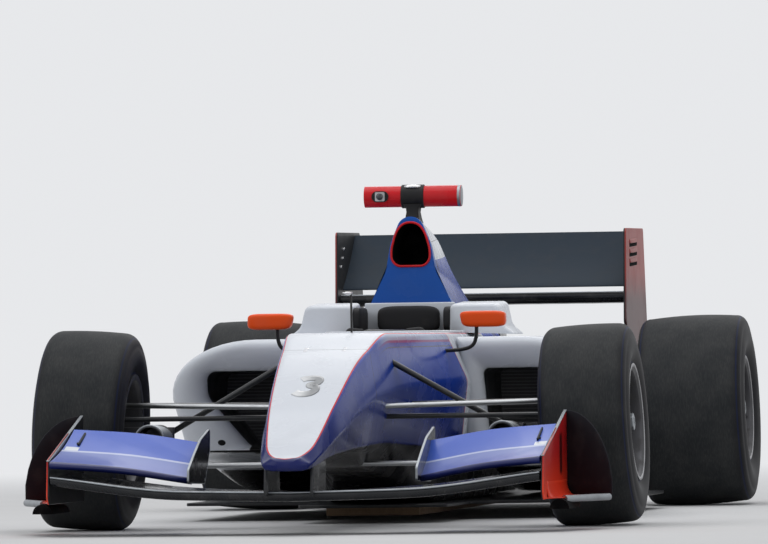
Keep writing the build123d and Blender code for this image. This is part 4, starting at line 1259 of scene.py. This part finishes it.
class RACECAR_OT_engine_cover(bpy.types.Operator):
    """Engine cover with its air intake, and the camera pod above it"""

    bl_idname = "racecar.engine_cover"
    bl_label = "Engine cover"

    def execute(self, context):
        start = COVER_ROWS[0][0]
        stations = np.concatenate([start + np.array([0, 1, 4, 10]), np.linspace(1545, COVER_ROWS[-1][0], 50)])
        rings = cover_rings(stations)
        ring = outline(full(MOUTH), MOUTH_RADII + MOUTH_RADII[::-1], RING_STEPS)
        # The front edge rolls in toward the mouth, whose corners match the cover's one for one
        toward = ring - rings[:4]
        inset = np.array([3.5, 1.2, 0.3, 0.0])[:, None, None]
        rings[:4] += toward / np.linalg.norm(toward, axis=2, keepdims=True) * inset
        face = ring + np.array([0, 0.33, 0.66, 1])[:, None, None] * (rings[0] - ring)
        pieces = [
            patch(crosswise(rings, stations[:, None]), wrap=True, shut=(False, True)),
            patch(crosswise(face, start), wrap=True),
        ]
        show("engine_cover_skin", pieces, "cover", instead=("engine_cover",), sharp=40)
        # The throat is closed at its rear and near-black matte: painted shade inside the intake
        throat = drawn_in(ring, MOUTH_MIDDLE, [1, 0.95, 0.88, 0.8])
        tunnel = patch(crosswise(throat, [[1519], [1560], [1620], [1700]]), wrap=True, shut=(False, True))
        show("intake_throat", [turned_over(tunnel)], "dark", slot="carbon")
        loop = crosswise(ring, start - 1)
        show("intake_ring", [tube(loop, 0.0038, 14, side=(0, 1, 0), closed=True)], "red", slot="pod_paint")
        self.camera_pod()
        return {"FINISHED"}

    def camera_pod(self):
        """A capsule across the car with a lens in it, a clamp round its middle and a stalk to the cover."""
        _, station, height = CAPSULE_CENTRE
        half_length, dish = 161, 10
        bend = np.linspace(0, pi / 2, 9)
        left_end = np.stack([half_length - dish * (1 - np.sin(bend)), CAPSULE_RADIUS * np.sin(bend)], axis=-1)
        centre, across = spots(*CAPSULE_CENTRE), (1, 0, 0)
        capsule = np.concatenate([left_end * (-1, 1), left_end[::-1]])
        show("camera_capsule", [turned(capsule, centre, across, 48)], "red", instead=("camera_pod",))
        clamp = [(-38, 34), (-38, 37), (-36, 39), (36, 39), (38, 37), (38, 34)]
        show("camera_clamp", [turned(clamp, centre, across, 48)], "black", slot="carbon")
        cap = [(150, 34.0), (150, 35.6), (159, 35.4), (162, 31), (162, 0.01)]
        show("camera_end_ring", [turned(cap, centre, across, 48)], "strip", slot="rim_metal")
        # Rows of the stalk: height, half width and half depth
        rows = np.array([(968, 27, 50), (985, 23, 42), (1005, 20, 36), (1018, 22, 34), (1032, 33, 34)])
        stem = np.stack([outline(rectangle(-wide, deep), 9, 6) for _, wide, deep in rows])
        stem = spots(stem[..., 0], station + stem[..., 1], rows[:, :1])
        show("camera_stalk", [patch(stem, wrap=True, shut=(True, True))], "black", slot="carbon")

        def front_plate(half_x, half_z, radius, ahead, depth):
            """A plate across the car with round corners, from a way ahead of the capsule's middle forward."""
            flat = outline(rectangle(half_x, half_z), radius) + (LENS_X, height)
            return plate(crosswise(flat, station - ahead), (0, -depth * MM, 0))

        show("lens_window", [front_plate(28, 18, 17.5, 27, 13)], "black", slot="carbon")
        show("lens_mount", [front_plate(16, 15, 4, 39, 3)], "alloy", slot="rim_metal")
        lens = [(0, 11.5), (6, 11.5), (8, 9.5), (9, 5), (9.3, 0.01)]
        glass_face = turned(lens, spots(LENS_X, station - 42, height), (0, -1, 0), 32)
        show("camera_lens", [glass_face], "lens", slot="carbon")
        dome = bubble((0, station - 16, height + 31.5), (58, 34, 14), 0.8, 32, 16)
        show("camera_dome", [dome], "chrome", slot="rim_metal")


class RACECAR_OT_front_wing(bpy.types.Operator):
    """Front wing: main plane, flaps, fences, end plates and their turning panels"""

    bl_idname = "racecar.front_wing"
    bl_label = "Front wing"

    def execute(self, context):
        main = [wing(MAIN_PLANE, 30, 8, 26, 0.06)]
        show("front_wing_plane", both(main), "gloss_carbon", instead=("front_wing_main",), sharp=60)
        # A bright metal strip on the main plane's leading edge is a painted highlight of the sky on it
        show("front_wing_edge", both([edge_line(MAIN_PLANE, 10, 2.6)]), "strip", slot="rim_metal")
        pair("front_flap_skin", [wing(FLAP, 22, 14, 22, 0.045)], "flap", instead="front_flap_{}", sharp=60)
        self.endplates()
        fence = outline(FENCE, (8, 14, 40, 60, 12, 20, 14), 6)
        fences = [plate(lengthwise(x - 3, fence), (0.006, 0, 0)) for x in (FENCE_X, -FENCE_X)]
        show("wing_fences", fences, "gloss_carbon", instead=("front_fences",), edge=1.2)
        strips = [trim(x, fence, 7, 2.4) for x in (FENCE_X, -FENCE_X)]
        show("fence_trim", strips, "strip", slot="rim_metal", edge=0.5)
        # Adjusters: a bracket with a round head near the outer end of each flap
        post = block((702, -622, 285), (6, 120, 20), 2, 2.5, tilt=16)
        head = turned([(0, 6), (4, 6), (5, 5), (5, 0.01)], spots(705, -662, 276), (1, 0, 0), 24)
        show("flap_adjusters", both([post, head]), "black", slot="carbon", edge=0.6)
        return {"FINISHED"}

    def endplates(self):
        """End plates, each with its sole, a tunnel and rolled foot under that, and a turning panel behind."""
        skin = faced(outline(ENDPLATE, (16, 12, 10, 6, 14), 6), ENDPLATE_X, ENDPLATE_THICK)
        pair("front_endplate_skin", [skin], "endplate", instead="front_endplate_{}", edge=2.0)
        middle, outer = ENDPLATE_X + ENDPLATE_THICK / 2, ENDPLATE_X + ENDPLATE_THICK
        top = straight((middle, -931, 229), (middle, -376, 360), 12)
        rim = carried(top, rectangle(1.3, 4.8) * MM, side=(1, 0, 0))
        pair("endplate_trim", [rim], "strip", slot="rim_metal", edge=0.6)
        # Flare: a concave quarter ellipse from the plate's face down to the sole
        bend = np.linspace(0, pi / 2, 9)[None]
        along = np.linspace(-866, -400, 24)[:, None]
        reach = np.clip((along + 884) * 0.40, 2, 24)
        flare = patch(spots(outer + reach * (1 - np.cos(bend)), along, 150 - 48 * np.sin(bend)))
        pair("endplate_flare", [flare], "orange_red", slot="endplate_paint", wall=2)
        # Turning panel: from the plate's rear edge out to the foot's tip, its top a quarter of an ellipse
        share = np.linspace(0, 1, 19)[:, None]
        rise = np.linspace(0, 1, 7)[None]
        height = 6 + 253 * np.sqrt(1 - (share * 0.985) ** 2)
        x = outer - 1 + (FOOT_TIP[0] - outer - 1) * share
        panel = patch(spots(x, -382 + (FOOT_TIP[1] + 380) * share, 100 + height * rise))
        pair("turning_panel", [panel], "panel", slot="carbon", wall=5, edge=1.2)
        sole_in = spots(np.linspace(750, 897, 12), np.linspace(-374, -490, 12), SOLE_Z)
        sole_out = spots(np.linspace(750, 900, 12), np.linspace(-890, -530, 12), SOLE_Z)
        sole = patch(np.stack([sole_in, sole_out]))
        pair("endplate_sole", [sole], "orange_red", slot="endplate_paint", wall=4, edge=1.0)
        # The tunnel is a closed near-black arch: painted shade in its mouth
        arch = np.linspace(0, pi, 13)
        mouth = np.array([[30], [30], [24], [4]])
        stations = [[-838], [-700], [-520], [-440]]
        tunnel = spots(786 + mouth * np.cos(arch), stations, 68 + mouth * np.sin(arch))
        pair("sole_tunnel", [patch(tunnel, shut=(True, True))], "dark", slot="carbon")
        # The rolled foot is real; its bright metal finish is a painted highlight along its top
        roll_x = np.linspace(794, 896, 12)
        roll = tube(spots(roll_x, -850 + (roll_x - 766) * 2.55, SOLE_Z - 4), 0.0105, 16)
        pair("rolled_foot", [roll], "strip", slot="rim_metal")


class RACECAR_OT_rear_wing(bpy.types.Operator):
    """Rear wing: two planes, lower beam, end plates with louvres, and pylons"""

    bl_idname = "racecar.rear_wing"
    bl_label = "Rear wing"

    def execute(self, context):
        planes = []
        for lead, trail, thick, sag, nose in (REAR_MAIN, REAR_BEAM, REAR_FLAP):
            rows = [(x, lead, trail) for x in (-REAR_WING_HALF, REAR_WING_HALF)]
            planes.append(wing(rows, thick, sag, 8, nose))
        show("rear_wing_form", planes[:2], "gloss_carbon", instead=("rear_wing_planes",), sharp=60)
        show("rear_wing_flap", planes[2:], "slate", slot="carbon", sharp=60)
        # A bright metal strip on the main plane's leading edge is a painted highlight
        strip = edge_line([(x, *REAR_MAIN[:2]) for x in (-498, 498)], 14, 2.4, 6)
        show("rear_wing_edge", [strip], "strip", slot="rim_metal")
        skin = faced(outline(REAR_ENDPLATE, 20, 7), REAR_WING_HALF, REAR_ENDPLATE_THICK)
        pair("rear_endplate_skin", [skin], "rear_plate", instead="rear_endplate_{}", edge=1.5)
        # Louvres: a blade that stands off the outer face over its slot, which is a near-black plate of painted
        # shade
        face_x = REAR_WING_HALF + REAR_ENDPLATE_THICK
        slots, blades = [], []
        start, end = LOUVRE_ENDS
        run = np.linspace(0, 1, 16)[:, None]
        lap = np.linspace(0, 1, 6)[None]
        for z in LOUVRE_LEVELS:
            slot = outline([(start, z - 12), (end, z - 4), (end, z + 12), (start, z + 4)], 6, 5)
            slots.append(plate(lengthwise(face_x - 0.5, slot), (0.0012, 0, 0)))
            out = face_x + 7 * np.sin(pi * run) ** 0.5 * lap
            height = z + 15 + 8 * run - 14 * lap
            blades.append(patch(spots(out, start + (end - start) * run, height)))
        pair("louvre_slots", slots, "dark", slot="carbon")
        pair("louvre_blades", blades, "dull_red", slot="rear_endplate_paint", wall=1.4)
        head = [(0, 6.5), (4, 6.5), (5, 5.5), (5, 0.01)]
        bolts = [turned(head, spots(REAR_WING_HALF, s, z), (-1, 0, 0), 18) for s, z in PLATE_BOLTS]
        pair("endplate_bolts", bolts, "chrome", slot="rim_metal", sharp=30)
        softened("rear_wing_pylons", "gloss_carbon", 1.5)
        return {"FINISHED"}


def arc(start, through, end, steps=7):
    """Points of the circular arc from start through a point to end, without its last point."""
    (x0, y0), (x1, y1), (x2, y2) = start, through, end
    twice = 2 * (x0 * (y1 - y2) + x1 * (y2 - y0) + x2 * (y0 - y1))
    squares = [x * x + y * y for x, y in (start, through, end)]
    cx = (squares[0] * (y1 - y2) + squares[1] * (y2 - y0) + squares[2] * (y0 - y1)) / twice
    cy = (squares[0] * (x2 - x1) + squares[1] * (x0 - x2) + squares[2] * (x1 - x0)) / twice
    angles = np.unwrap(np.arctan2([y0 - cy, y1 - cy, y2 - cy], [x0 - cx, x1 - cx, x2 - cx]))
    angle = np.linspace(angles[0], angles[2], steps + 1)[:-1]
    reach = np.hypot(x0 - cx, y0 - cy)
    return np.stack([cx + reach * np.cos(angle), cy + reach * np.sin(angle)], axis=-1)


def tyre_profile(radius, width, rim_width):
    """Half section of a slick tyre from the crown's middle to the bead, as (along the axle, radius)."""
    bead, crown = rim_width / 2 - 7, width / 2 - 42
    drop = 1500 - np.sqrt(1500**2 - crown**2)
    middle = [
        arc((0, radius), (crown / 2, radius - drop / 4), (crown, radius - drop), 8),
        arc((crown, radius - drop), (width / 2 - 20, radius - 13), (width / 2 - 7, radius - 44), 9),
        arc((width / 2 - 7, radius - 44), (width / 2, RIM_RADIUS + 70), (bead, RIM_RADIUS + 21), 14),
        [(bead, RIM_RADIUS + 21), (bead, RIM_RADIUS + 2), (bead - 12, RIM_RADIUS)],
    ]
    return np.concatenate(middle)


def wheel_patches(joint, radius, width, rim_width):
    """Tyre, rim and lip of one wheel, and its centre, outward axis and distance to the spokes' middle."""
    centre, axis = np.array(JOINTS[joint]["pos_m"]), np.array(JOINTS[joint]["axis"])
    axis = axis if centre[0] * axis[0] > 0 else -axis
    half = tyre_profile(radius, width, rim_width)
    section = np.concatenate([(half * (-1, 1))[::-1], half[1:]])
    tyre = turned(section, centre, axis, 144, closed=True, across=section[:, 0] / (width / 2))
    edge = rim_width / 2
    barrel = [
        (-edge, 180), (6 - edge, 180), (8 - edge, 168), (14 - edge, 165), (edge - 60, 165),
        (edge - 58, 157), (14 - edge, 157), (9 - edge, 160), (1 - edge, 163), (-edge, 176),
    ]
    dish = [
        (edge - 60, 165), (edge - 12, 165), (edge - 8, 168), (edge - 6, 180), (edge, 180),
        (edge + 0.5, 177), (edge - 1, 170), (edge - 6, 160), (edge - 14, 157), (edge - 58, 157),
    ]
    rim = [turned(loop, centre, axis, closed=True) for loop in (barrel, dish)]
    # The lip is the rim's own flange; its metal, lighter than the dark rim, is a painted highlight along the edge
    lip = turned([(edge - 5, 180.6), (edge + 0.4, 180.6), (edge + 1.4, 177), (edge - 0.6, 171)], centre, axis)
    face = edge - 40
    rim.append(turned(np.array(HUB) + (face, 0), centre, axis, 48))
    first, second = around(axis)
    away, half_width, half_depth, setback = np.array(SPOKE_ROWS, float).T
    section = outline(rectangle(1, 1), 0.45, 5) * np.stack([half_width, half_depth], axis=-1)[:, None] * MM
    for turn in np.linspace(0, 2 * pi, SPOKES, endpoint=False):
        out = np.cos(turn) * first + np.sin(turn) * second
        run = away[:, None] * MM * out + centre + (face - setback[:, None]) * MM * axis
        rim.append(carried(run, section, side=axis))
    return [tyre], rim, [lip], (centre, axis, face)


class RACECAR_OT_wheels(bpy.types.Operator):
    """Slick tyres on spoked rims, with brake discs, hubs and wheel nuts"""

    bl_idname = "racecar.wheels"
    bl_label = "Wheels"

    def execute(self, context):
        for end, *sizes, disc_face in AXLES:
            for name, _ in SIDES:
                wheel = f"{end}_wheel_{name}"
                tyre, rim, lip, (centre, axis, face) = wheel_patches(f"{wheel}_spin", *sizes)
                show(f"{end}_tyre_skin_{name}", tyre, "rubber", instead=(f"{end}_tyre_{name}",), sharp=60)
                show(f"{end}_rim_form_{name}", rim, "rim", instead=(f"{end}_rim_{name}",))
                show(f"{end}_rim_lip_{name}", lip, "lip", wheel, "rim_metal", wall=1.2)
                disc = turned(np.array(DISC) + (disc_face, 0), centre, axis, 72, closed=True)
                show(f"{end}_brake_disc_{name}", [disc], "black", wheel, "carbon")
                bell = [
                    (disc_face, 60), (disc_face, 30), (face - 30, 30),
                    (face - 30, 50), (disc_face + 40, 70), (disc_face + 28, 76),
                ]
                bell = turned(bell, centre, axis, 48, closed=True)
                show(f"{end}_disc_bell_{name}", [bell], "cast", wheel, "rim_metal")
                nut = turned(np.array(NUT) + (face, 0), centre, axis, 6)
                show(f"{end}_wheel_nut_{name}", [nut], "strip", wheel, "rim_metal", edge=1.0)
                if end == "rear":
                    inner = centre + axis * (disc_face - 2) * MM
                    reach = axis * (112 - abs(centre[0]) * 1000 - disc_face) * MM
                    run = inner + np.array([[0], [0.12], [0.5], [0.88], [1]]) * reach
                    section = np.stack([circle(r * MM, 24) for r in (30, 16, 15, 16, 28)])
                    shaft = carried(run, section, side=(0, 1, 0.01))
                    show(f"drive_shaft_{name}", [shaft], "chrome", wheel, "rim_metal")
        return {"FINISHED"}


class RACECAR_OT_suspension(bpy.types.Operator):
    """Suspension arms of teardrop section, rods and their joints"""

    bl_idname = "racecar.suspension"
    bl_label = "Suspension"

    def execute(self, context):
        arms, bright, ends = [], [], []
        for ball_z, legs in ((UPPER_BALL_Z, UPPER_LEGS), (LOWER_BALL_Z, LOWER_LEGS)):
            ball = (KINGPIN_X, 0, ball_z)
            # The front leg of each wishbone is a bright metal copy of the carbon arms: a painted highlight of
            # light on its top
            for leg, heap in zip(legs, (bright, arms)):
                start = np.array(ball) + 0.02 * (np.array(leg) - ball)
                heap.append(carried(straight(start, leg), blade(0.036, 0.0165), side=REARWARD))
            eye = [(-7, 6.6), (-7, 16), (-6, 17), (6, 17), (7, 16), (7, 6.6)]
            ends.append(turned(eye, spots(*ball), (0, 0, 1), 32, closed=True))
        arms.append(carried(straight(PUSHROD_FOOT, PUSHROD_HEAD), blade(0.030, 0.018), side=REARWARD))
        ends.append(block((PUSHROD_FOOT[0], 4, (LOWER_BALL_Z + PUSHROD_FOOT[2] + 8) / 2), (26, 26, 44), 4))
        show("front_arms", both(arms), "carbon", instead=("front_suspension",), sharp=50)
        show("front_bright_arms", both(bright), "satin", slot="carbon", sharp=50)
        show("front_ball_joints", both(ends), "alloy", slot="upright_metal", sharp=30)
        rear, joints = [], []
        for outer, inner in np.array(REAR_RODS):
            rear.append(carried(straight(outer, inner), blade(0.040, 0.018), side=REARWARD))
            joints.append(tube(straight(outer, outer + 0.05 * (inner - outer), 3), 0.013, 16))
        show("rear_arms", both(rear), "carbon", instead=("rear_suspension",), sharp=50)
        show("rear_rod_ends", both(joints), "alloy", slot="upright_metal", sharp=30)
        softened("track_rods", "carbon", 0.8)
        for name, _ in SIDES:
            softened(f"front_upright_{name}", "rim", 1.2)
            softened(f"rear_upright_{name}", "rim", 1.5)
        # Brake duct: a half round hood over a square scoop, its mouth toward the nose
        hoop = np.linspace(0, pi, 17)
        ring = np.stack([547 - 44 * np.cos(hoop), 286 + 41 * np.sin(hoop)], axis=-1)
        ring = np.concatenate([[(503, 243)], ring, [(591, 243)]])
        heart = (547, 275)
        hood = crosswise(drawn_in(ring, heart, [1, 1.02, 0.98, 0.93]), [[-331], [-322], [-240], [-135]])
        pair("brake_duct_hood", [turned_over(patch(hood))], "strip", "front_upright_{}", "upright_metal",
             wall=5.0, edge=1.0)
        # The lining closes the scoop to a point in near-black matte: painted shade inside the duct
        lining = crosswise(drawn_in(ring, heart, [0.90, 0.86, 0.05]), [[-326], [-200], [-160]])
        pair("brake_duct_lining", [patch(lining, wrap=True)], "dark", "front_upright_{}", "carbon")
        return {"FINISHED"}


class RACECAR_OT_fittings(bpy.types.Operator):
    """Mirrors, speed probe, race number, fasteners, tail lamp and the CAD forms with soft edges"""

    bl_idname = "racecar.fittings"
    bl_label = "Fittings"

    def execute(self, context):
        points, faces, _ = bubble((342, MIRROR_STATION, 646), (150, 62, 52), 0.42, 56, 24)
        # The inner end leans outward on its way down
        lean = np.clip((344 - points[:, 0] / MM) / 73, 0, 1) * np.clip((672 - points[:, 2] / MM) / 52, 0, 1)
        points[:, 0] += 11 * MM * lean
        pair("mirror_shell", [(points, faces, {})], "orange", instead="mirror_{}", sharp=60)
        pane = block((350, MIRROR_STATION + 30.2, 646), (112, 2, 38), 0.9, 0.9)
        pair("mirror_glass", [pane], "mirror", slot="mirror_shell")
        line = smooth([(322, 628), (322, 592), (312, 560), (276, 548), (205, 545)])
        stem = carried(crosswise(line, MIRROR_STATION), blade(0.030, 0.012), side=(0, 1, 0.01))
        pair("mirror_stem", [stem], "black", slot="carbon", sharp=50)
        # Speed probe: a mast on the deck with a bright head that points forward
        mast = carried(straight((0, 230, 604), (0, 229, 728), 10), blade(0.030, 0.006), side=(0, 1, 0.01))
        show("probe_mast", [mast], "black", slot="carbon", sharp=50)
        head = [(0, 1.2), (1.5, 2.5), (48, 2.5), (54, 4.6), (139, 5.0), (168, 4.6), (174, 0.01)]
        probe = turned(head, spots(0, 66, 729), (0, 1, 0), 24)
        show("probe_head", [probe], "chrome", instead=("speed_probe",))
        self.race_number()
        # Fasteners of the nose joint and of the tub's lids, flush in the deck
        rows = ((NOSE_SPLIT - 14, 60), (NOSE_SPLIT + 14, 60), (120, 120), (640, 150))
        profile = [(-1.5, 7), (0.7, 7), (1.1, 6.4), (1.1, 3.4), (0.3, 3.0), (0.3, 0.01)]
        heads = []
        for station, half in rows:
            top, further = deck_height([station, station + 10])
            for x in (-half, half):
                heads.append(turned(profile, spots(x, station, top), (0, top - further, 10), 20))
        show("deck_fasteners", heads, "chrome", slot="rim_metal")
        lamp = block((0, 3844, 315), (62, 30, 52), 5, 6)
        show("tail_lamp", [lamp], "lamp", slot="mirror_shell")
        for node, material in SOFT_FORMS.items():
            softened(node, material, 2.0)
        return {"FINISHED"}

    def race_number(self):
        """A digit three as a flat ribbon on the nose, its stroke broader where it runs across the car."""
        line = smooth([
            (-1, 0.80), (-0.45, 1.02), (0.62, 1.0), (1.0, 0.70), (0.78, 0.28), (0.0, 0.10),
            (0.85, -0.10), (1.08, -0.56), (0.66, -0.98), (-0.40, -1.02), (-1.05, -0.76),
        ])
        width, height, lean = 29, 56, 5
        middle = NUMBER_PLACE + line * (width, height) + line[:, 1:] * (lean, 0)
        flow = np.gradient(middle, axis=0)
        flow /= np.linalg.norm(flow, axis=1, keepdims=True)
        aside = np.stack([-flow[:, 1], flow[:, 0]], axis=-1)
        share = np.linspace(-1, 1, 5)[:, None, None]
        x, station = np.moveaxis(middle + share * aside * np.array([13.5, 19.0]), -1, 0)
        top = deck_height(station.ravel()).reshape(station.shape)
        shade = (x - middle[:, 0].min()) / np.ptp(middle[:, 0])
        digit = patch(spots(x, station, top + 0.8), across=shade)
        show("race_number", [digit], "number", slot="rim_metal", sharp=80, wall=1.0)


def on_seat(x, at, lift=0):
    """Points on the seat or a lift above it: at x, and at places along its line in rows of it."""
    path = eased(np.arange(len(SEAT_LINE)), SEAT_LINE, at)
    slope = np.gradient(path, axis=0)
    slope /= np.linalg.norm(slope, axis=1, keepdims=True) * np.sign(at[-1] - at[0])
    normal = np.stack([-slope[:, 1], slope[:, 0]], axis=-1)
    height = lift + SEAT_DEPTH * np.abs(np.clip(x / SEAT_HALF, -1, 1)) ** 3
    place = path[:, None] + height[..., None] * normal[:, None]
    return spots(x, place[..., 0], place[..., 1])


class RACECAR_OT_cockpit(bpy.types.Operator):
    """Side boxes, headrest, seat, belts and steering wheel"""

    bl_idname = "racecar.cockpit"
    bl_label = "Cockpit"

    def execute(self, context):
        stations = np.array([1284, 1286, 1292, 1310, 1400, 1500])
        share = (stations - stations[0]) / np.ptp(stations)
        corners = np.array(SIDE_BOX) + share[:, None, None] * SIDE_BOX_GAIN
        ring = rounded(drawn_in(corners, (238, 600), [0.90, 0.94, 0.98, 1, 1, 1]), SIDE_BOX_RADII)
        box = patch(crosswise(ring, stations[:, None]), wrap=True, shut=(True, True))
        wall = [block((0, 1492, 656), (300, 14, 100), 5, 5), block((0, 1495, 636), (596, 10, 60), 4, 4)]
        show("side_boxes", both([box]) + wall, "white", instead=("cockpit_surround",), sharp=50)
        rest = [bubble((0, 1460, 651), (206, 42, 88), 0.45, 48, 24)]
        show("head_pad", rest, "leather", instead=("headrest",), sharp=70)
        pads = [bubble((x, 1385, 650), (30, 190, 82), 0.4, 40, 20) for x in (150, -150)]
        show("side_pads", pads, "leather", slot="head_pad", sharp=70)
        self.seat()
        self.wheel()
        softened("steering_column", "carbon", 1.0)
        return {"FINISHED"}

    def seat(self):
        """Bucket seat: a line from the knees down and up the back, dished across, with six belts on it."""
        across, along = np.linspace(-SEAT_HALF, SEAT_HALF, 25), np.linspace(0, len(SEAT_LINE) - 1, 40)
        shell = [turned_over(patch(on_seat(across[None], along)))]
        show("seat_shell", shell, "black", instead=("seat",), wall=6, edge=1.5)
        belts = []
        for x0, x1, start, end, width in BELTS:
            for side in (1, -1):
                x = side * np.linspace(x0, x1, 16)[:, None] + np.linspace(-width / 2, width / 2, 5)
                belts.append(patch(on_seat(x, np.linspace(start, end, 16), 8)))
        show("harness", belts, "webbing", slot="seat_shell", wall=2.2, sharp=60)
        buckle = [block((0, 1236, 176), (56, 50, 16), 5, 22)]
        show("harness_buckle", buckle, "chrome", slot="rim_metal")

    def wheel(self):
        """Steering wheel: a flat-topped plate with two grips, a dark display and buttons round it."""
        joint = JOINTS["steering_wheel_turn"]
        centre, normal = np.array(joint["pos_m"]), np.array(joint["axis"])
        right = np.array([1.0, 0, 0])
        up = np.cross(right, normal)
        up = up if up[2] > 0 else -up

        def on_plate(points, depth):
            points = np.asarray(points, float) * MM
            return centre + points[..., :1] * right + points[..., 1:] * up + depth * MM * normal

        ring = outline(
            [(-70, -70), (70, -70), (96, -40), (96, 60), (60, 70), (-60, 70), (-96, 60), (-96, -40)],
            (14, 14, 16, 16, 20, 20, 16, 16), 6,
        )
        body = plate(on_plate(ring, 4), 0.014 * normal)
        show("wheel_plate", [body], "carbon", instead=("steering_wheel",), edge=2)
        grip = np.array([(72, 62), (112, 66), (126, 40), (124, 0), (124, -34), (108, -66), (70, -68)])
        path = eased(np.arange(len(grip)), grip, np.linspace(0, len(grip) - 1, 30))
        grips = [tube(on_plate(path * (side, 1), 12), 0.0115, 14, side=normal) for side in (1, -1)]
        show("wheel_grips", grips, "leather", "steering_wheel", "grip")
        display = plate(on_plate(outline(rectangle(40, 22) + (0, 34), 5, 4), 18), 0.004 * normal)
        show("wheel_display", [display], "lens", "steering_wheel", "grip", edge=0.8)
        profile = [(0, 7), (5, 7), (6.5, 5.5), (6.5, 0.01)]
        buttons = [turned(profile, on_plate(place, 18), normal, 20) for place in BUTTONS]
        show("wheel_buttons", buttons, "orange", "steering_wheel", "grip")


class RACECAR_OT_frame_finishes(bpy.types.Operator):
    """Finishes of the CAD nodes that show as they are"""

    bl_idname = "racecar.frame_finishes"
    bl_label = "Frame finishes"

    def execute(self, context):
        for node, name in NODE_FINISHES.items():
            slots = frame["nodes"][node].data.materials
            slots.clear()
            slots.append(finish(name))
        return {"FINISHED"}


class RACECAR_OT_stage(bpy.types.Operator):
    """Floor, soft light and the camera at the photograph's angle"""

    bl_idname = "racecar.stage"
    bl_label = "Stage"

    def execute(self, context):
        scene = context.scene
        settings = scene.racecar
        scene.view_settings.view_transform = "Standard"
        yaw, pitch, roll = (radians(v) for v in settings.camera_turn)
        ahead = Vector((-sin(yaw) * cos(pitch), cos(yaw) * cos(pitch), -sin(pitch)))
        right = Vector((cos(yaw), sin(yaw), 0))
        up = right.cross(ahead)
        side = cos(roll) * right + sin(roll) * up
        top = -sin(roll) * right + cos(roll) * up
        lens = bpy.data.cameras.new("camera")
        lens.lens = settings.lens
        lens.sensor_width = 36
        lens.clip_end = 200
        camera = bpy.data.objects.new("camera", lens)
        place = Vector(settings.camera_place) + Vector((0, FRONT_AXLE, 0))
        camera.matrix_world = Matrix([*zip(side, top, -ahead, place), (0, 0, 0, 1)])
        scene.collection.objects.link(camera)
        scene.camera = camera
        mesh = bpy.data.meshes.new("studio_floor")
        mesh.from_pydata([(x, y, 0) for x, y in rectangle(60, 60).tolist()], [], [(0, 1, 2, 3)])
        mesh.materials.append(floor_finish())
        floor = bpy.data.objects.new("studio_floor", mesh)
        scene.collection.objects.link(floor)
        for name, (place, size, power) in LAMPS.items():
            light = bpy.data.lights.new(name, "AREA")
            light.size = size
            light.energy = power
            lamp = bpy.data.objects.new(name, light)
            lamp.location = place
            lamp.rotation_mode = "QUATERNION"
            lamp.rotation_quaternion = (Vector((0, 0, 0.4)) - Vector(place)).to_track_quat("-Z", "Y")
            scene.collection.objects.link(lamp)
        world = bpy.data.worlds.new("studio")
        sky = Recipe("studio", world)
        sky.set(Color=sky.blend(sky.seen(), (0.40, 0.41, 0.43), BACKDROP), Strength=1.0)
        scene.world = world
        return {"FINISHED"}


class CarSettings(bpy.types.PropertyGroup):
    """What a user would change first."""

    lens: bpy.props.FloatProperty(
        name="Lens", description="Focal length of the camera, in millimetres", default=375.27
    )
    camera_place: bpy.props.FloatVectorProperty(
        name="Camera place",
        description="Camera from the point on the ground under the front axle's middle",
        default=(3.8401, -24.5564, 0.5334),
        subtype="TRANSLATION",
        unit="LENGTH",
    )
    camera_turn: bpy.props.FloatVectorProperty(
        name="Camera turn", description="Yaw, pitch and roll in degrees", default=(8.5691, -0.5966, -0.7805)
    )


OPERATORS = [
    RACECAR_OT_stage,
    RACECAR_OT_frame_finishes,
    RACECAR_OT_body,
    RACECAR_OT_cockpit,
    RACECAR_OT_sidepods,
    RACECAR_OT_engine_cover,
    RACECAR_OT_front_wing,
    RACECAR_OT_rear_wing,
    RACECAR_OT_wheels,
    RACECAR_OT_suspension,
    RACECAR_OT_fittings,
]


class RACECAR_PT_panel(bpy.types.Panel):
    """Lists the pieces of the racing car"""

    bl_label = "Race Car"
    bl_idname = "RACECAR_PT_panel"
    bl_space_type = "VIEW_3D"
    bl_region_type = "UI"
    bl_category = "Race Car"

    def draw(self, context):
        for name in CarSettings.__annotations__:
            self.layout.prop(context.scene.racecar, name)
        for operator in OPERATORS:
            self.layout.operator(operator.bl_idname)


CLASSES = [CarSettings, *OPERATORS, RACECAR_PT_panel]


def register():
    """Registers the classes and hangs the settings on the scene."""
    for cls in CLASSES:
        bpy.utils.register_class(cls)
    bpy.types.Scene.racecar = bpy.props.PointerProperty(type=CarSettings)


def unregister():
    """Takes the settings and classes away again."""
    del bpy.types.Scene.racecar
    for cls in reversed(CLASSES):
        bpy.utils.unregister_class(cls)


def main():
    register()
    for operator in OPERATORS:
        family, name = operator.bl_idname.split(".")
        getattr(getattr(bpy.ops, family), name)()
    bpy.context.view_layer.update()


if __name__ == "__main__":
    main()
